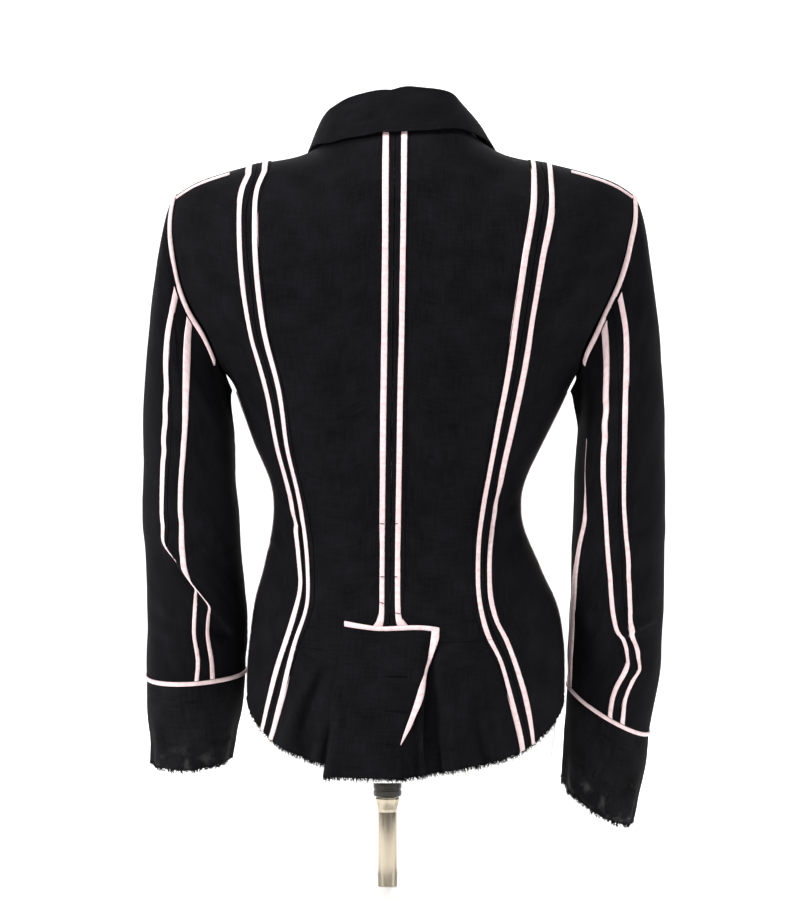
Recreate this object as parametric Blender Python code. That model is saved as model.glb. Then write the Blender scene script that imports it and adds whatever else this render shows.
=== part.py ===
"""A fitted linen jacket with taped seams on a limbless dress form.

Metres, +Z up.  The back of the jacket faces -Y, its front +Y.  The origin is at
the middle of the underside of the base plate, on the pole's axis.
"""
import math

import bmesh
import bpy
import numpy as np

MM = 0.001

# Cloth, tape and the gaps between pieces
WALL = 1.2 * MM
TAPE_WALL = 0.8 * MM
TAPE_LIFT = 0.3 * MM
SEAM_GAP = 0.3 * MM
TAPE_NEAR = 4.7 * MM
TAPE_FAR = 11.2 * MM
TAPE_WIDTH = 6.0 * MM
FLAP_LIFT = 1.6 * MM
LAPEL_LIFT = 0.5 * MM

# Heights that divide the jacket
HEM_LEVEL = 105 * MM
HEM_FADE_LEVEL = 250 * MM
PAST_HEM = 1.15
ROLL_START = 540 * MM
SHOULDER_POINT_Z = 629 * MM
BREAK_Z = 470 * MM
CROSS_TOP_Z = 502 * MM
NECK_POINT_Z = 660 * MM
NECK_MIDDLE_Z = 566 * MM
OVERHANG_RUN = 70 * MM

# Roundness of the body's sections, and of the roll over the shoulder
BODY_POWER = 2.3
ROLL_POWER = 2.3
ROLL_SPAN = 115 * MM
RIDGE_Y = 5 * MM
SEAM_PAST_RIDGE = 6.0
NECK_HALF = 70 * MM
NECK_ROLL = 66.0
FRONT_OVERLAP = 12 * MM
FRONT_STEP = 2.6 * MM
FRONT_STEP_TURN = 8.0
FRONT_STEP_FADE = 16.0
FRONT_STEP_RUN = 40 * MM
FRONT_FACING = 14 * MM

SECTION_COLUMNS = ("z", "left", "right", "back", "front")
SECTIONS = (
    (100, -122, 152, 128, 102),
    (145, -125, 156, 127, 103),
    (190, -126.5, 158.5, 122, 103),
    (235, -123, 157, 109, 100),
    (262, -119, 152, 99, 97),
    (295, -110.5, 137, 83, 91),
    (330, -103, 122, 71, 86),
    (355, -101.5, 120, 67, 84),
    (373, -105, 124, 69, 87),
    (404, -118, 137.5, 78, 98),
    (438, -131, 154.5, 89, 112),
    (462, -141, 166, 95, 118),
    (485, -160, 180, 100, 119),
    (507, -172, 193, 103, 117),
    (540, -192, 211, 105, 111),
)

ARMHOLE_COLUMNS = ("z", "left", "right")
ARMHOLE = (
    (455, -137, 168),
    (470, -146, 171),
    (485, -151.5, 172.5),
    (507, -162, 183),
    (525, -173.5, 191.5),
    (548, -183, 202.5),
    (571, -188, 210.5),
    (590, -191, 215),
    (606, -191.5, 218.5),
    (629, -189, 219.5),
)
PEPLUM_INSIDE = 9
UNDERARM_Z = 455 * MM
ARMHOLE_OVERHANG = 10 * MM
ARMHOLE_TURN_FADE = 9 * MM
FRONT_ARMHOLE_CUT = 11 * MM

RIDGE_COLUMNS = ("from_middle", "z")
RIDGE = (
    (0, 713), (20, 711), (45, 699), (70, 677), (90, 666), (135, 657),
    (165, 649), (190, 640), (207, 629), (235, 606),
)

HEM_COLUMNS = ("turn", "z")
HEM = (
    (0, 115), (15, 122), (32, 129), (50, 141), (61, 152),
    (70, 162), (90, 180), (120, 190), (180, 188),
)

CENTRE_SEAM_COLUMNS = ("z", "x")
CENTRE_SEAM = ((105, 0.5), (269, 2.5), (681, 7.1), (742, 7.8))

PRINCESS_COLUMNS = ("z", "x")
PRINCESS_LEFT = (
    (100, -118), (147, -107), (201, -94), (226, -86.5), (250, -78), (269, -73.7),
    (299, -74.2), (324, -76.2), (349, -80.5), (402, -92.4), (454, -100.5),
    (506, -114.7), (536, -118.1), (581, -123.5), (605, -124.2), (655, -115),
)
PRINCESS_RIGHT = (
    (100, 133), (145, 123.4), (182, 115.2), (214, 105.5), (232, 96.8), (250, 89.2),
    (275, 86), (294, 85.7), (320, 86.7), (349, 90.8), (402, 100.3), (451, 109.2),
    (500, 118.2), (547, 125.7), (593, 133.4), (637, 140.3), (655, 137.3),
)

PEPLUM_SEAM_COLUMNS = ("x", "z")
PEPLUM_SEAM = ((-110, 222), (-75, 222), (-40, 221), (0, 236), (42, 230), (90, 231), (130, 231))

FOLD_COLUMNS = ("top_x", "top_z", "foot_x", "foot_z", "width", "depth")
FOLDS = (
    (-50, 226, -80, 100, 9, -7),
    (-66, 215, -99, 100, 9, 4),
    (-36, 215, -58, 100, 8, 5),
    (-44, 185, -57, 100, 6, -7),
    (0, 215, -8, 100, 20, 5),
    (42, 222, 43, 100, 9, -11),
    (24, 190, 20, 100, 6, -4),
    (56, 212, 66, 100, 8, 6),
    (70, 205, 88, 100, 8, -6),
    (84, 200, 106, 100, 9, 4),
    (-100, 200, -118, 100, 9, -4),
    (118, 205, 138, 100, 10, -4),
)

FOLD_SPREAD = 0.55
FOLD_SPREAD_GAIN = 0.6
FOLD_ONSET = 1.25
FOLD_SIDE_FADE = 2.2

FLAP_COLUMNS = ("z", "left", "right")
FLAP = (
    (115.6, -56, 12),
    (144.3, -52, 12),
    (156.4, -50.5, 18.2),
    (179.9, -47.5, 29.5),
    (214.6, -42.5, 37.7),
    (244.5, -36.5, 45),
    (249.5, -36, 45.2),
)
FLAP_INSIDE = 6

SLEEVE_COLUMNS = ("outer_x", "outer_z", "inner_x", "inner_z", "seam_x", "middle_y", "half_depth", "back_drop")
SLEEVE_LEFT = (
    (-220, 428, -137, 414, -190.4, 0, 61, 0),
    (-220, 400, -136.5, 390, -192, 1, 60, 0),
    (-220, 372, -136, 364, -194.4, 2, 59, 0),
    (-219.8, 342, -134, 338, -194.5, 3, 57, 0),
    (-218.5, 315, -132.5, 312, -193.5, 4, 56, 0),
    (-217.4, 293, -130.5, 290, -186, 5, 55, 0),
    (-216.4, 272, -128.5, 270, -171, 7, 54, 2),
    (-216.5, 248, -126.5, 250, -166.8, 10, 52, 3),
    (-218, 222, -126, 229, -168, 13, 50, 5),
    (-218.5, 203, -128, 209, -168.5, 16, 47.5, 7),
    (-218.5, 198, -128, 204, -168.5, 16, 47, 7),
)
CUFF_LEFT = (
    (-218.4, 197.6, -128.1, 203.6, -168.5, 16, 46.9, 7),
    (-217.4, 166, -131, 172, -172, 18, 45, 8),
    (-214.5, 142, -136.5, 147, -174, 20, 43, 9),
    (-214.2, 121, -141, 126, -177, 22, 41, 10),
)
SLEEVE_RIGHT = (
    (249.5, 426, 170, 416, 205, 0, 61, 0),
    (249.5, 396, 169, 396, 204.3, 1, 60, 0),
    (250.2, 364, 168, 364, 204.5, 2, 59, 0),
    (250.3, 332, 167, 332, 205.5, 3, 57, 0),
    (249.6, 300, 166, 300, 208, 4, 56, 0),
    (249, 268, 165, 268, 209.8, 6, 54, 2),
    (247.6, 236, 163, 234, 216, 9, 52, 4),
    (246.2, 206, 162, 218, 222, 12, 50, 6),
    (241.7, 178, 162.5, 204, 211, 14, 48, 8),
    (237.6, 154, 163, 196, 207, 16, 46.5, 9),
    (236.6, 149, 163, 191, 206.5, 16, 46, 9),
)
CUFF_RIGHT = (
    (236.5, 148.5, 163, 190.5, 206.5, 16, 45.9, 9),
    (233.3, 122, 160.5, 160, 203, 18, 44, 10),
    (228, 94, 158.5, 131, 199, 20, 42, 11),
    (222, 67, 157.5, 103, 196, 22, 41, 12),
)
FRONT_SEAM_TURN = {"left": 205.0, "right": 190.0}
CAP_ROWS = 4
ARMHOLE_GAP = 0.5 * MM
UNDERARM_GAP = 2.4 * MM
ARMHOLE_BAND = 8.5 * MM
UNDER_INSIDE = 2
TOP_INSIDE = 10
CUFF_COLUMNS = 24
CAP_REACH = {"top": 52 * MM, "under": 18 * MM, "hang": 70 * MM}
CAP_FALL_TOP = 12.0
CAP_FALL_UNDER = 54.0
CAP_FALL_POWER = 1.5
CAP_ARRIVE_LOSS = 0.6
CAP_CURVE_SHARE = 0.7
CAP_BAND_LIMITS = (0.03, 0.4)
CAP_NORMAL_BLEND = (2.0, 0.6)
ARMHOLE_TAPE_REACH = 140.0
ARMHOLE_TAPE_START = 0.34
CUFF_TAPE_START = 0.08

COLLAR_COLUMNS = ("place", "shift", "seam_apart", "seam_roll", "seam_lift", "fold_up", "fold_out",
                  "edge_apart", "edge_roll", "edge_lift", "belly")
COLLAR = (
    (0, -8, 0, 66.5, 1.5, 19.5, -3, 0, 50.8, 4, 3),
    (1, -8, 28, 69, 1.5, 21, -3, 31, 53.5, 4, 2.5),
    (2, -7, 52, 75, 1.5, 24.5, -4, 56, 64.5, 4, 2),
    (3, -4.5, 64, 85, 1.8, 26, -6, 76, 85, 4, 1.5),
    (4, -1.5, 66, 104, 2.2, 19, -4, 86, 106, 4, 2),
    (5, 0, 65, 126, 2.4, 9.5, 2, 91, 127, 4, 2),
    (6, 0, 57, 145, 2.4, 4.5, 4, 88, 146, 3.5, 2),
)
COLLAR_LEAN = -0.18
COLLAR_PLACES = 21
COLLAR_FOLD = 3.2 * MM
COLLAR_FOLD_SHARE = 0.3
COLLAR_BELLY_WAY = (0.8, 0.6)
COLLAR_LOWER_SHARE = 0.18

LAPEL_COLUMNS = ("z", "roll", "outer")
LAPEL = (
    (506, 4, 9),
    (530, 15, 46),
    (556, 26, 74),
    (584, 38, 94),
    (596, 43, 74),
    (608, 48, 55),
)
LAPEL_ROWS = 9
LAPEL_ACROSS = 5
LAPEL_BELLY = 2.0 * MM
LAPEL_FOOT_LIFT = 2.0 * MM

BUTTON_COLUMNS = ("height", "lift")
BUTTONS = ((445, -0.15), (385, 0.9), (325, 0.5))
BUTTON_RADIUS = 9 * MM
BUTTON_THICK = 3 * MM
BUTTON_SIDES = 20
BUTTON_PROFILE_COLUMNS = ("radius", "thickness")
BUTTON_PROFILE = ((0.9, 0.0), (1.0, 0.35), (0.95, 0.9), (0.78, 1.0), (0.70, 0.75))

FORM_INSET = 6.0 * MM
FORM_BOTTOM_Z = 108 * MM
FORM_NECK_Z = 706 * MM
FORM_BACK_MOST = 104 * MM
FORM_SIDE_CUT = 16 * MM
FORM_COLUMNS = 28
FORM_CUT_START = 440 * MM
FORM_CUT_FADE = 60 * MM
FORM_NECK_DROP = 8 * MM
FORM_NECK_REACH = 92 * MM
FORM_NECK_FADE = 30 * MM
FORM_MERGE = 0.05 * MM
FORM_ROW_COLUMNS = ("level", "scale", "top_gap")
FORM_ROWS = (
    (100, 0.55, 0), (104, 0.85, 0), (120, 0.97, 0), (150, 1, 0), (190, 1, 0), (230, 1, 0),
    (262, 1, 0), (300, 1, 0), (338, 1, 0), (370, 1, 0), (404, 1, 0), (438, 1, 0), (470, 1, 0),
    (506, 1, 0), (540, 1, 0), (560, 1, 5), (580, 1, 4), (600, 1, 3), (616, 1, 2), (630, 1, 1.4),
    (642, 1, 1), (650, 1, 1), (655, 1, 1),
)
POLE_RADIUS = 8.8 * MM
CLAMP_RADIUS = 13 * MM
CLAMP_HEIGHT = 19 * MM
BASE_RADIUS = 140 * MM
BASE_THICK = 8 * MM
REST_GAP = 0.3 * MM

FINISHES = {
    "linen": ((0.009, 0.009, 0.010), 0.85, 0.0),
    "satin_tape": ((0.83, 0.62, 0.61), 0.45, 0.0),
    "button": ((0.012, 0.012, 0.013), 0.3, 0.0),
    "form_cover": ((0.86, 0.86, 0.85), 0.6, 0.0),
    "chrome": ((0.55, 0.55, 0.54), 0.12, 1.0),
    "dark_metal": ((0.05, 0.05, 0.05), 0.35, 1.0),
    "base_paint": ((0.80, 0.80, 0.79), 0.4, 0.0),
}


def clear_scene():
    """Removes every object of the open scene."""
    for item in list(bpy.data.objects):
        bpy.data.objects.remove(item, do_unlink=True)


def finish(name):
    """Returns the named material, made once."""
    found = bpy.data.materials.get(name)
    if found:
        return found
    colour, roughness, metallic = FINISHES[name]
    made = bpy.data.materials.new(name)
    made.use_nodes = True
    shader = made.node_tree.nodes["Principled BSDF"]
    shader.inputs["Base Color"].default_value = (*colour, 1.0)
    shader.inputs["Roughness"].default_value = roughness
    shader.inputs["Metallic"].default_value = metallic
    return made


def table_curve(columns, rows, key, value, unit=MM, key_unit=MM):
    """Returns a smooth function that runs through one column of a table against another."""
    keys = np.array([row[columns.index(key)] for row in rows], float) * key_unit
    values = np.array([row[columns.index(value)] for row in rows], float) * unit
    steps = np.diff(values) / np.diff(keys)
    slopes = np.empty_like(values)
    slopes[0] = steps[0]
    slopes[-1] = steps[-1]
    same_way = steps[:-1] * steps[1:] > 0
    total = steps[:-1] + steps[1:]
    slopes[1:-1] = np.where(same_way, 0.5 * total, 0.25 * total)

    def value_at(place):
        place = np.clip(np.asarray(place, float), keys[0], keys[-1])
        i = np.clip(np.searchsorted(keys, place) - 1, 0, len(keys) - 2)
        span = keys[i + 1] - keys[i]
        t = (place - keys[i]) / span
        rise = values[i + 1] - values[i]
        ease = t * t * (3 - 2 * t)
        pull = t * (1 - t) * ((1 - t) * slopes[i] - t * slopes[i + 1]) * span
        return values[i] + rise * ease + pull

    return value_at


section_left = table_curve(SECTION_COLUMNS, SECTIONS, "z", "left")
section_right = table_curve(SECTION_COLUMNS, SECTIONS, "z", "right")
section_back = table_curve(SECTION_COLUMNS, SECTIONS, "z", "back")
section_front = table_curve(SECTION_COLUMNS, SECTIONS, "z", "front")
armhole_x = {side: table_curve(ARMHOLE_COLUMNS, ARMHOLE, "z", side) for side in ("left", "right")}
ridge_z = table_curve(RIDGE_COLUMNS, RIDGE, "from_middle", "z")
hem_z = table_curve(HEM_COLUMNS, HEM, "turn", "z", key_unit=1.0)
peplum_seam_z = table_curve(PEPLUM_SEAM_COLUMNS, PEPLUM_SEAM, "x", "z")
SEAM_X = {
    "centre": table_curve(CENTRE_SEAM_COLUMNS, CENTRE_SEAM, "z", "x"),
    "princess_left": table_curve(PRINCESS_COLUMNS, PRINCESS_LEFT, "z", "x"),
    "princess_right": table_curve(PRINCESS_COLUMNS, PRINCESS_RIGHT, "z", "x"),
}
flap_x = {side: table_curve(FLAP_COLUMNS, FLAP, "z", side) for side in ("left", "right")}


def smooth_step(value):
    """Eases from 0 to 1."""
    value = np.clip(value, 0.0, 1.0)
    return value * value * (3 - 2 * value)


def half_widths(z):
    """Returns the section's middle and half width; above the underarm it overhangs the armhole."""
    low_left = section_left(z)
    low_right = section_right(z)
    high_left = armhole_x["left"](z) - ARMHOLE_OVERHANG
    high_right = armhole_x["right"](z) + ARMHOLE_OVERHANG
    share = smooth_step((z - ROLL_START + OVERHANG_RUN) / OVERHANG_RUN)
    left = low_left + (high_left - low_left) * share
    right = low_right + (high_right - low_right) * share
    return 0.5 * (left + right), 0.5 * (right - left)


def fold_relief(x, z):
    """Returns how far the folds of the lower back stand out, from soft ridges along slanted lines."""
    relief = np.zeros(np.broadcast(x, z).shape)
    for row in FOLDS:
        top_x, top_z, foot_x, foot_z, width, depth = (value * MM for value in row)
        down = np.clip((top_z - z) / (top_z - foot_z), 0.0, 1.0)
        middle = top_x + (foot_x - top_x) * down
        spread = width * (FOLD_SPREAD + FOLD_SPREAD_GAIN * down)
        relief = relief + depth * smooth_step(down * FOLD_ONSET) * np.exp(-((x - middle) / spread) ** 2)
    return relief


def body_point(turn, level, inset=0.0, top_inset=0.0, folded=1.0):
    """Returns points of the jacket's outer surface, or of a surface inset within it.

    turn is in degrees round the body: 0 at the centre back, 90 at the right side,
    -90 at the left side, 180 at the centre front.  level is a height up to
    ROLL_START, and above it the way along a roll over the shoulder ridge.
    """
    turn, level = np.broadcast_arrays(np.asarray(turn, float), np.asarray(level, float))
    angle = np.radians(turn)
    across = np.sign(np.sin(angle)) * np.abs(np.sin(angle)) ** (2 / BODY_POWER)
    along = np.abs(np.cos(angle)) ** (2 / BODY_POWER)
    on_back = np.abs(turn) < 90

    drop = np.clip((HEM_FADE_LEVEL - level) / (HEM_FADE_LEVEL - HEM_LEVEL), 0.0, PAST_HEM)
    z_low = HEM_FADE_LEVEL + (hem_z(np.abs(turn)) - HEM_FADE_LEVEL) * drop
    z_low = np.where(level < HEM_FADE_LEVEL, z_low, np.minimum(level, ROLL_START))
    middle, half = half_widths(z_low)
    x_low = middle + (half - inset) * across
    depth = np.where(on_back, inset - section_back(z_low), section_front(z_low) - inset) * along
    relief = np.where(on_back, fold_relief(x_low, z_low), 0.0)
    relief = relief * smooth_step(FOLD_SIDE_FADE * np.abs(np.cos(angle)))
    y_low = depth - relief * folded

    roll = np.clip((level - ROLL_START) / ROLL_SPAN, 0.0, 1.99) * (math.pi / 2)
    rise = np.abs(np.sin(roll)) ** (2 / ROLL_POWER)
    reach = np.abs(np.cos(roll)) ** (2 / ROLL_POWER)
    z_arm = ROLL_START + (SHOULDER_POINT_Z - ROLL_START) * rise
    middle_up, half_up = half_widths(z_arm)
    x_up = middle_up + (half_up - inset) * across
    z_up = ROLL_START + (ridge_z(np.abs(x_up - middle_up)) - top_inset - ROLL_START) * rise
    past_ridge = on_back & (roll > math.pi / 2)
    use_back = on_back & ~past_ridge
    start_y = np.where(use_back, inset - section_back(ROLL_START), section_front(ROLL_START) - inset) * along
    y_up = RIDGE_Y + (start_y - RIDGE_Y) * reach

    upper = level > ROLL_START
    return np.stack([np.where(upper, x_up, x_low), np.where(upper, y_up, y_low),
                     np.where(upper, z_up, z_low)], axis=-1)


def body_normal(turn, level):
    """Returns the outward direction of the jacket's surface."""
    step_turn = 0.4
    step_level = 0.6 * MM
    around = body_point(turn + step_turn, level) - body_point(turn - step_turn, level)
    upward = body_point(turn, level + step_level) - body_point(turn, level - step_level)
    normal = np.cross(around, upward)
    return normal / np.linalg.norm(normal, axis=-1, keepdims=True)


def turn_for_x(x, level, front=False, rounds=5):
    """Returns the turn at which the surface has the given x, by a few rounds of correction."""
    level = np.asarray(level, float)
    turn = np.full(level.shape, 150.0 if front else 10.0)
    for _ in range(rounds):
        z = body_point(turn, level)[..., 2]
        rise = np.clip((level - ROLL_START) / ROLL_SPAN, 0.0, 1.99) * (math.pi / 2)
        z_arm = ROLL_START + (SHOULDER_POINT_Z - ROLL_START) * np.abs(np.sin(rise)) ** (2 / ROLL_POWER)
        middle, half = half_widths(np.where(level > ROLL_START, z_arm, z))
        target = x(z) if callable(x) else x
        share = np.clip((target - middle) / half, -1.0, 1.0)
        turn = np.degrees(np.arcsin(np.abs(share) ** (BODY_POWER / 2)))
        turn = np.sign(share) * ((180.0 - turn) if front else turn)
    return turn


def armhole_turn(side, level, front=False):
    """Returns the turn of the armhole's edge, which meets the side seam at the underarm."""
    sign = -1.0 if side == "left" else 1.0

    def edge_x(z):
        cut = FRONT_ARMHOLE_CUT * np.sin(math.pi * np.clip((z - UNDERARM_Z)
                                                          / (SHOULDER_POINT_Z - UNDERARM_Z), 0, 1))
        return armhole_x[side](z) - sign * cut * front

    level = np.asarray(level, float)
    turn = np.abs(turn_for_x(edge_x, level, front))
    fade = np.exp(-np.clip(level - UNDERARM_Z, 0, None) / ARMHOLE_TURN_FADE)
    turn = turn + (90.0 - turn) * fade
    return sign * np.where(level <= UNDERARM_Z, 90.0, turn)


def arc_shift(turn, level, distance):
    """Moves a turn sideways by a distance measured on the cloth."""
    step = 0.5
    stretch = np.linalg.norm(body_point(turn + step, level) - body_point(turn - step, level), axis=-1)
    return turn + distance * (2 * step) / np.maximum(stretch, 1e-5)


def add_body(name, points, faces, material, smooth=True):
    """Makes one closed object from points and faces, with its faces pointing out."""
    mesh = bpy.data.meshes.new(name)
    mesh.from_pydata([tuple(point) for point in points], [], faces)
    shape = bmesh.new()
    shape.from_mesh(mesh)
    bmesh.ops.recalc_face_normals(shape, faces=shape.faces)
    shape.to_mesh(mesh)
    shape.free()
    mesh.materials.append(finish(material))
    item = bpy.data.objects.new(name, mesh)
    bpy.context.scene.collection.objects.link(item)
    if smooth:
        mesh.shade_smooth()
        mesh.set_sharp_from_angle(angle=math.radians(40))
    return item


def add_wall(name, outer, inner, material, ring=False):
    """Joins two grids of points into one closed wall; a ring closes on itself sideways."""
    rows, columns = outer.shape[:2]
    points = np.concatenate([outer.reshape(-1, 3), inner.reshape(-1, 3)])
    shift = rows * columns
    faces = []
    last = columns if ring else columns - 1
    for r in range(rows - 1):
        for c in range(last):
            d = (c + 1) % columns
            a, b, e, f = r * columns + c, r * columns + d, (r + 1) * columns + d, (r + 1) * columns + c
            faces.append((a, b, e, f))
            faces.append((a + shift, f + shift, e + shift, b + shift))
    for c in range(last):
        d = (c + 1) % columns
        foot = (rows - 1) * columns
        faces.append((c, c + shift, d + shift, d))
        faces.append((foot + c, foot + d, foot + d + shift, foot + c + shift))
    if not ring:
        for r in range(rows - 1):
            a, b = r * columns, (r + 1) * columns
            e, f = a + columns - 1, b + columns - 1
            faces.append((a, b, b + shift, a + shift))
            faces.append((e, e + shift, f + shift, f))
    return add_body(name, points, faces, material)


def grid_normals(grid, ring=False):
    """Returns the directions square to a grid of points, from differences along it."""
    down = np.gradient(grid, axis=0)
    if ring:
        side = np.roll(grid, -1, axis=1) - np.roll(grid, 1, axis=1)
    else:
        side = np.gradient(grid, axis=1)
    normal = np.cross(side, down)
    return normal / np.maximum(np.linalg.norm(normal, axis=-1, keepdims=True), 1e-12)


class Panel:
    """A cloth piece of the body: its grid of turns and levels, and the walls made from it."""

    def __init__(self, turns, levels, step_out=None):
        self.points = body_point(turns, levels)
        self.normals = body_normal(turns, levels)
        if step_out is not None:
            self.points = self.points + self.normals * step_out[..., None]

    def wall(self, name, material="linen"):
        """Adds the panel's own wall, its outer face on the surface."""
        return add_wall(name, self.points, self.points - self.normals * WALL, material)

    def laid(self, name, rows, columns):
        """Adds a tape that lies on some rows and columns of the panel."""
        return lay_strip(name, self.points[rows, columns], self.normals[rows, columns])


def blend_columns(edge_a, edge_b, levels, near_a, near_b, inside):
    """Returns turns whose first and last columns keep set distances from two edges."""
    start = [arc_shift(edge_a, levels, distance) for distance in near_a]
    end = [arc_shift(edge_b, levels, -distance) for distance in reversed(near_b)]
    middle = [start[-1] + (end[0] - start[-1]) * (i + 1) / (inside + 1) for i in range(inside)]
    return np.stack(start + middle + end, axis=1)


def neck_level(turn, level):
    """Returns the level of the back's top edge: the shoulder seam, dipping to the neck seam."""
    top = BACK_TOP
    low = ROLL_START + ROLL_SPAN * NECK_ROLL / 90.0
    x = body_point(turn, level)[..., 0]
    middle = half_widths(np.full(np.shape(x), NECK_MIDDLE_Z))[0]
    inward = np.sqrt(np.clip(1 - ((x - middle) / NECK_HALF) ** 2, 0.0, 1.0))
    return top - (top - low) * inward


BACK_TOP = ROLL_START + ROLL_SPAN * (90.0 + SEAM_PAST_RIDGE) / 90.0 - SEAM_GAP
FRONT_TOP = ROLL_START + ROLL_SPAN * (90.0 - SEAM_PAST_RIDGE) / 90.0 - SEAM_GAP
LOWER_LEVELS = (251, 284, 312, 338, 362, 390, 422, 455, 470, 492, 516, 540)
UPPER_SHARES = (0.22, 0.44, 0.64, 0.80, 0.92, 1.0)
PEPLUM_LEVELS = (105, 125, 147, 170, 192, 212)


def side_name(name, side):
    """Returns a node's name with its side."""
    return f"{name}_{side}"


def back_levels(side):
    """Returns the row levels above the peplum seam that the back panels of a side share."""
    foot = peplum_seam_z(SEAM_X["princess_" + side](225 * MM))
    low = np.concatenate([[foot], np.array(LOWER_LEVELS) * MM])
    high = ROLL_START + (BACK_TOP - ROLL_START) * np.array(UPPER_SHARES)
    return np.concatenate([low, high])


def build_back(side):
    """Adds a centre back panel with the tapes along its two long seams."""
    sign = -1.0 if side == "left" else 1.0
    levels = back_levels(side)
    princess = turn_for_x(SEAM_X["princess_" + side], levels)
    neck_share = neck_level(np.zeros(1), np.array([BACK_TOP]))[0]
    centre_levels = np.where(levels > ROLL_START,
                             ROLL_START + (levels - ROLL_START) * (neck_share - ROLL_START)
                             / (BACK_TOP - ROLL_START), levels)
    centre = turn_for_x(SEAM_X["centre"], centre_levels)
    near = [0.5 * SEAM_GAP * sign, TAPE_NEAR * sign, TAPE_FAR * sign]
    turns = blend_columns(centre, princess, levels, near, near, 3)
    grid = np.repeat(levels[:, None], turns.shape[1], axis=1)
    tops = neck_level(turns[-1], np.full(turns.shape[1], BACK_TOP))
    rise = np.clip((grid - ROLL_START) / (BACK_TOP - ROLL_START), 0, 1)
    grid = np.where(grid > ROLL_START, ROLL_START + rise * (tops[None, :] - ROLL_START), grid)
    grid[0] = peplum_seam_z(body_point(turns[0], levels[0])[..., 0]) + 0.5 * SEAM_GAP
    panel = Panel(turns, grid)
    panel.wall(side_name("back", side))
    panel.laid(side_name("tape_centre", side), slice(1, -1), slice(1, 3))
    panel.laid(side_name("tape_princess_back", side), slice(0, None), slice(-3, -1))


def build_peplum(side):
    """Adds one half of the flared lower back and the tape along its outer seam."""
    sign = -1.0 if side == "left" else 1.0
    levels = np.append(np.array(PEPLUM_LEVELS) * MM, back_levels(side)[0])
    centre = turn_for_x(SEAM_X["centre"], levels)
    princess = turn_for_x(SEAM_X["princess_" + side], levels)
    near = [0.5 * SEAM_GAP * sign, TAPE_NEAR * sign, TAPE_FAR * sign]
    turns = blend_columns(centre, princess, levels, near[:1], near, PEPLUM_INSIDE)
    grid = np.repeat(levels[:, None], turns.shape[1], axis=1)
    grid[-1] = peplum_seam_z(body_point(turns[-1], levels[-1])[..., 0]) - 0.5 * SEAM_GAP
    panel = Panel(turns, grid)
    panel.wall(side_name("peplum", side))
    panel.laid(side_name("tape_peplum", side), slice(0, None), slice(-3, -1))


def build_side(side):
    """Adds a side back panel, from the princess seam to the side seam and the armhole."""
    sign = -1.0 if side == "left" else 1.0
    levels = np.concatenate([np.array(PEPLUM_LEVELS) * MM, back_levels(side)])
    princess = turn_for_x(SEAM_X["princess_" + side], levels)
    edge = armhole_turn(side, levels)
    near = [0.5 * SEAM_GAP * sign, TAPE_NEAR * sign, TAPE_FAR * sign]
    turns = blend_columns(princess, edge, levels, near, near[:1], 4)
    grid = np.repeat(levels[:, None], turns.shape[1], axis=1)
    panel = Panel(turns, grid)
    panel.wall(side_name("side", side))
    panel.laid(side_name("tape_princess_side", side), slice(0, None), slice(1, 3))


def front_edge_x(side):
    """Returns the front's edge: straight below the break, then the roll line up to the neck."""
    sign = -1.0 if side == "left" else 1.0

    def edge_x(z):
        middle = half_widths(np.minimum(z, ROLL_START))[0]
        climb = np.clip((z - BREAK_Z) / (NECK_POINT_Z - BREAK_Z), 0, None)
        apart = -FRONT_OVERLAP + (NECK_HALF + FRONT_OVERLAP) * climb
        return middle + sign * np.minimum(apart, NECK_HALF)

    return edge_x


def build_front(side):
    """Adds a front, from the side seam and the armhole to the front edge, with its tapes."""
    sign = -1.0 if side == "left" else 1.0
    foot = back_levels(side)[:1]
    low = np.concatenate([np.array(PEPLUM_LEVELS) * MM, foot, np.array(LOWER_LEVELS) * MM])
    high = ROLL_START + (FRONT_TOP - ROLL_START) * np.array(UPPER_SHARES)
    levels = np.concatenate([low, high])
    edge = armhole_turn(side, levels, front=True)
    opening = front_edge_turn(side, levels)
    near = [0.5 * SEAM_GAP * sign, TAPE_NEAR * sign, TAPE_FAR * sign]
    turns = blend_columns(edge, opening, levels, near, [0.0, FRONT_FACING * sign], 5)
    grid = np.repeat(levels[:, None], turns.shape[1], axis=1)
    step_out = np.zeros(turns.shape)
    if side == "right":
        behind = np.abs(turns - opening[:, None])
        fade = 1 - smooth_step((behind - FRONT_STEP_TURN) / FRONT_STEP_FADE)
        below = 1 - smooth_step((levels - CROSS_TOP_Z) / FRONT_STEP_RUN)
        step_out = FRONT_STEP * fade * below[:, None]
    panel = Panel(turns, grid, step_out)
    panel.wall(side_name("front", side))
    under = int(np.searchsorted(levels, UNDERARM_Z))
    panel.laid(side_name("tape_side", side), slice(0, under), slice(1, 3))
    panel.laid(side_name("tape_shoulder", side), slice(-2, None), slice(1, -2))


def front_edge_turn(side, levels):
    """Returns the turn of the front's edge, kept on its own side of the centre by a wrap."""
    edge_x = front_edge_x(side)
    turn = turn_for_x(edge_x, levels, front=True)
    sign = -1.0 if side == "left" else 1.0
    return np.where(turn * sign < 0, turn + sign * 360.0, turn)


def low_level(turn, z):
    """Returns the level at which the flared lower back reaches a height."""
    share = (HEM_FADE_LEVEL - z) / (HEM_FADE_LEVEL - hem_z(np.abs(turn)))
    return HEM_FADE_LEVEL - share * (HEM_FADE_LEVEL - HEM_LEVEL)


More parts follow.
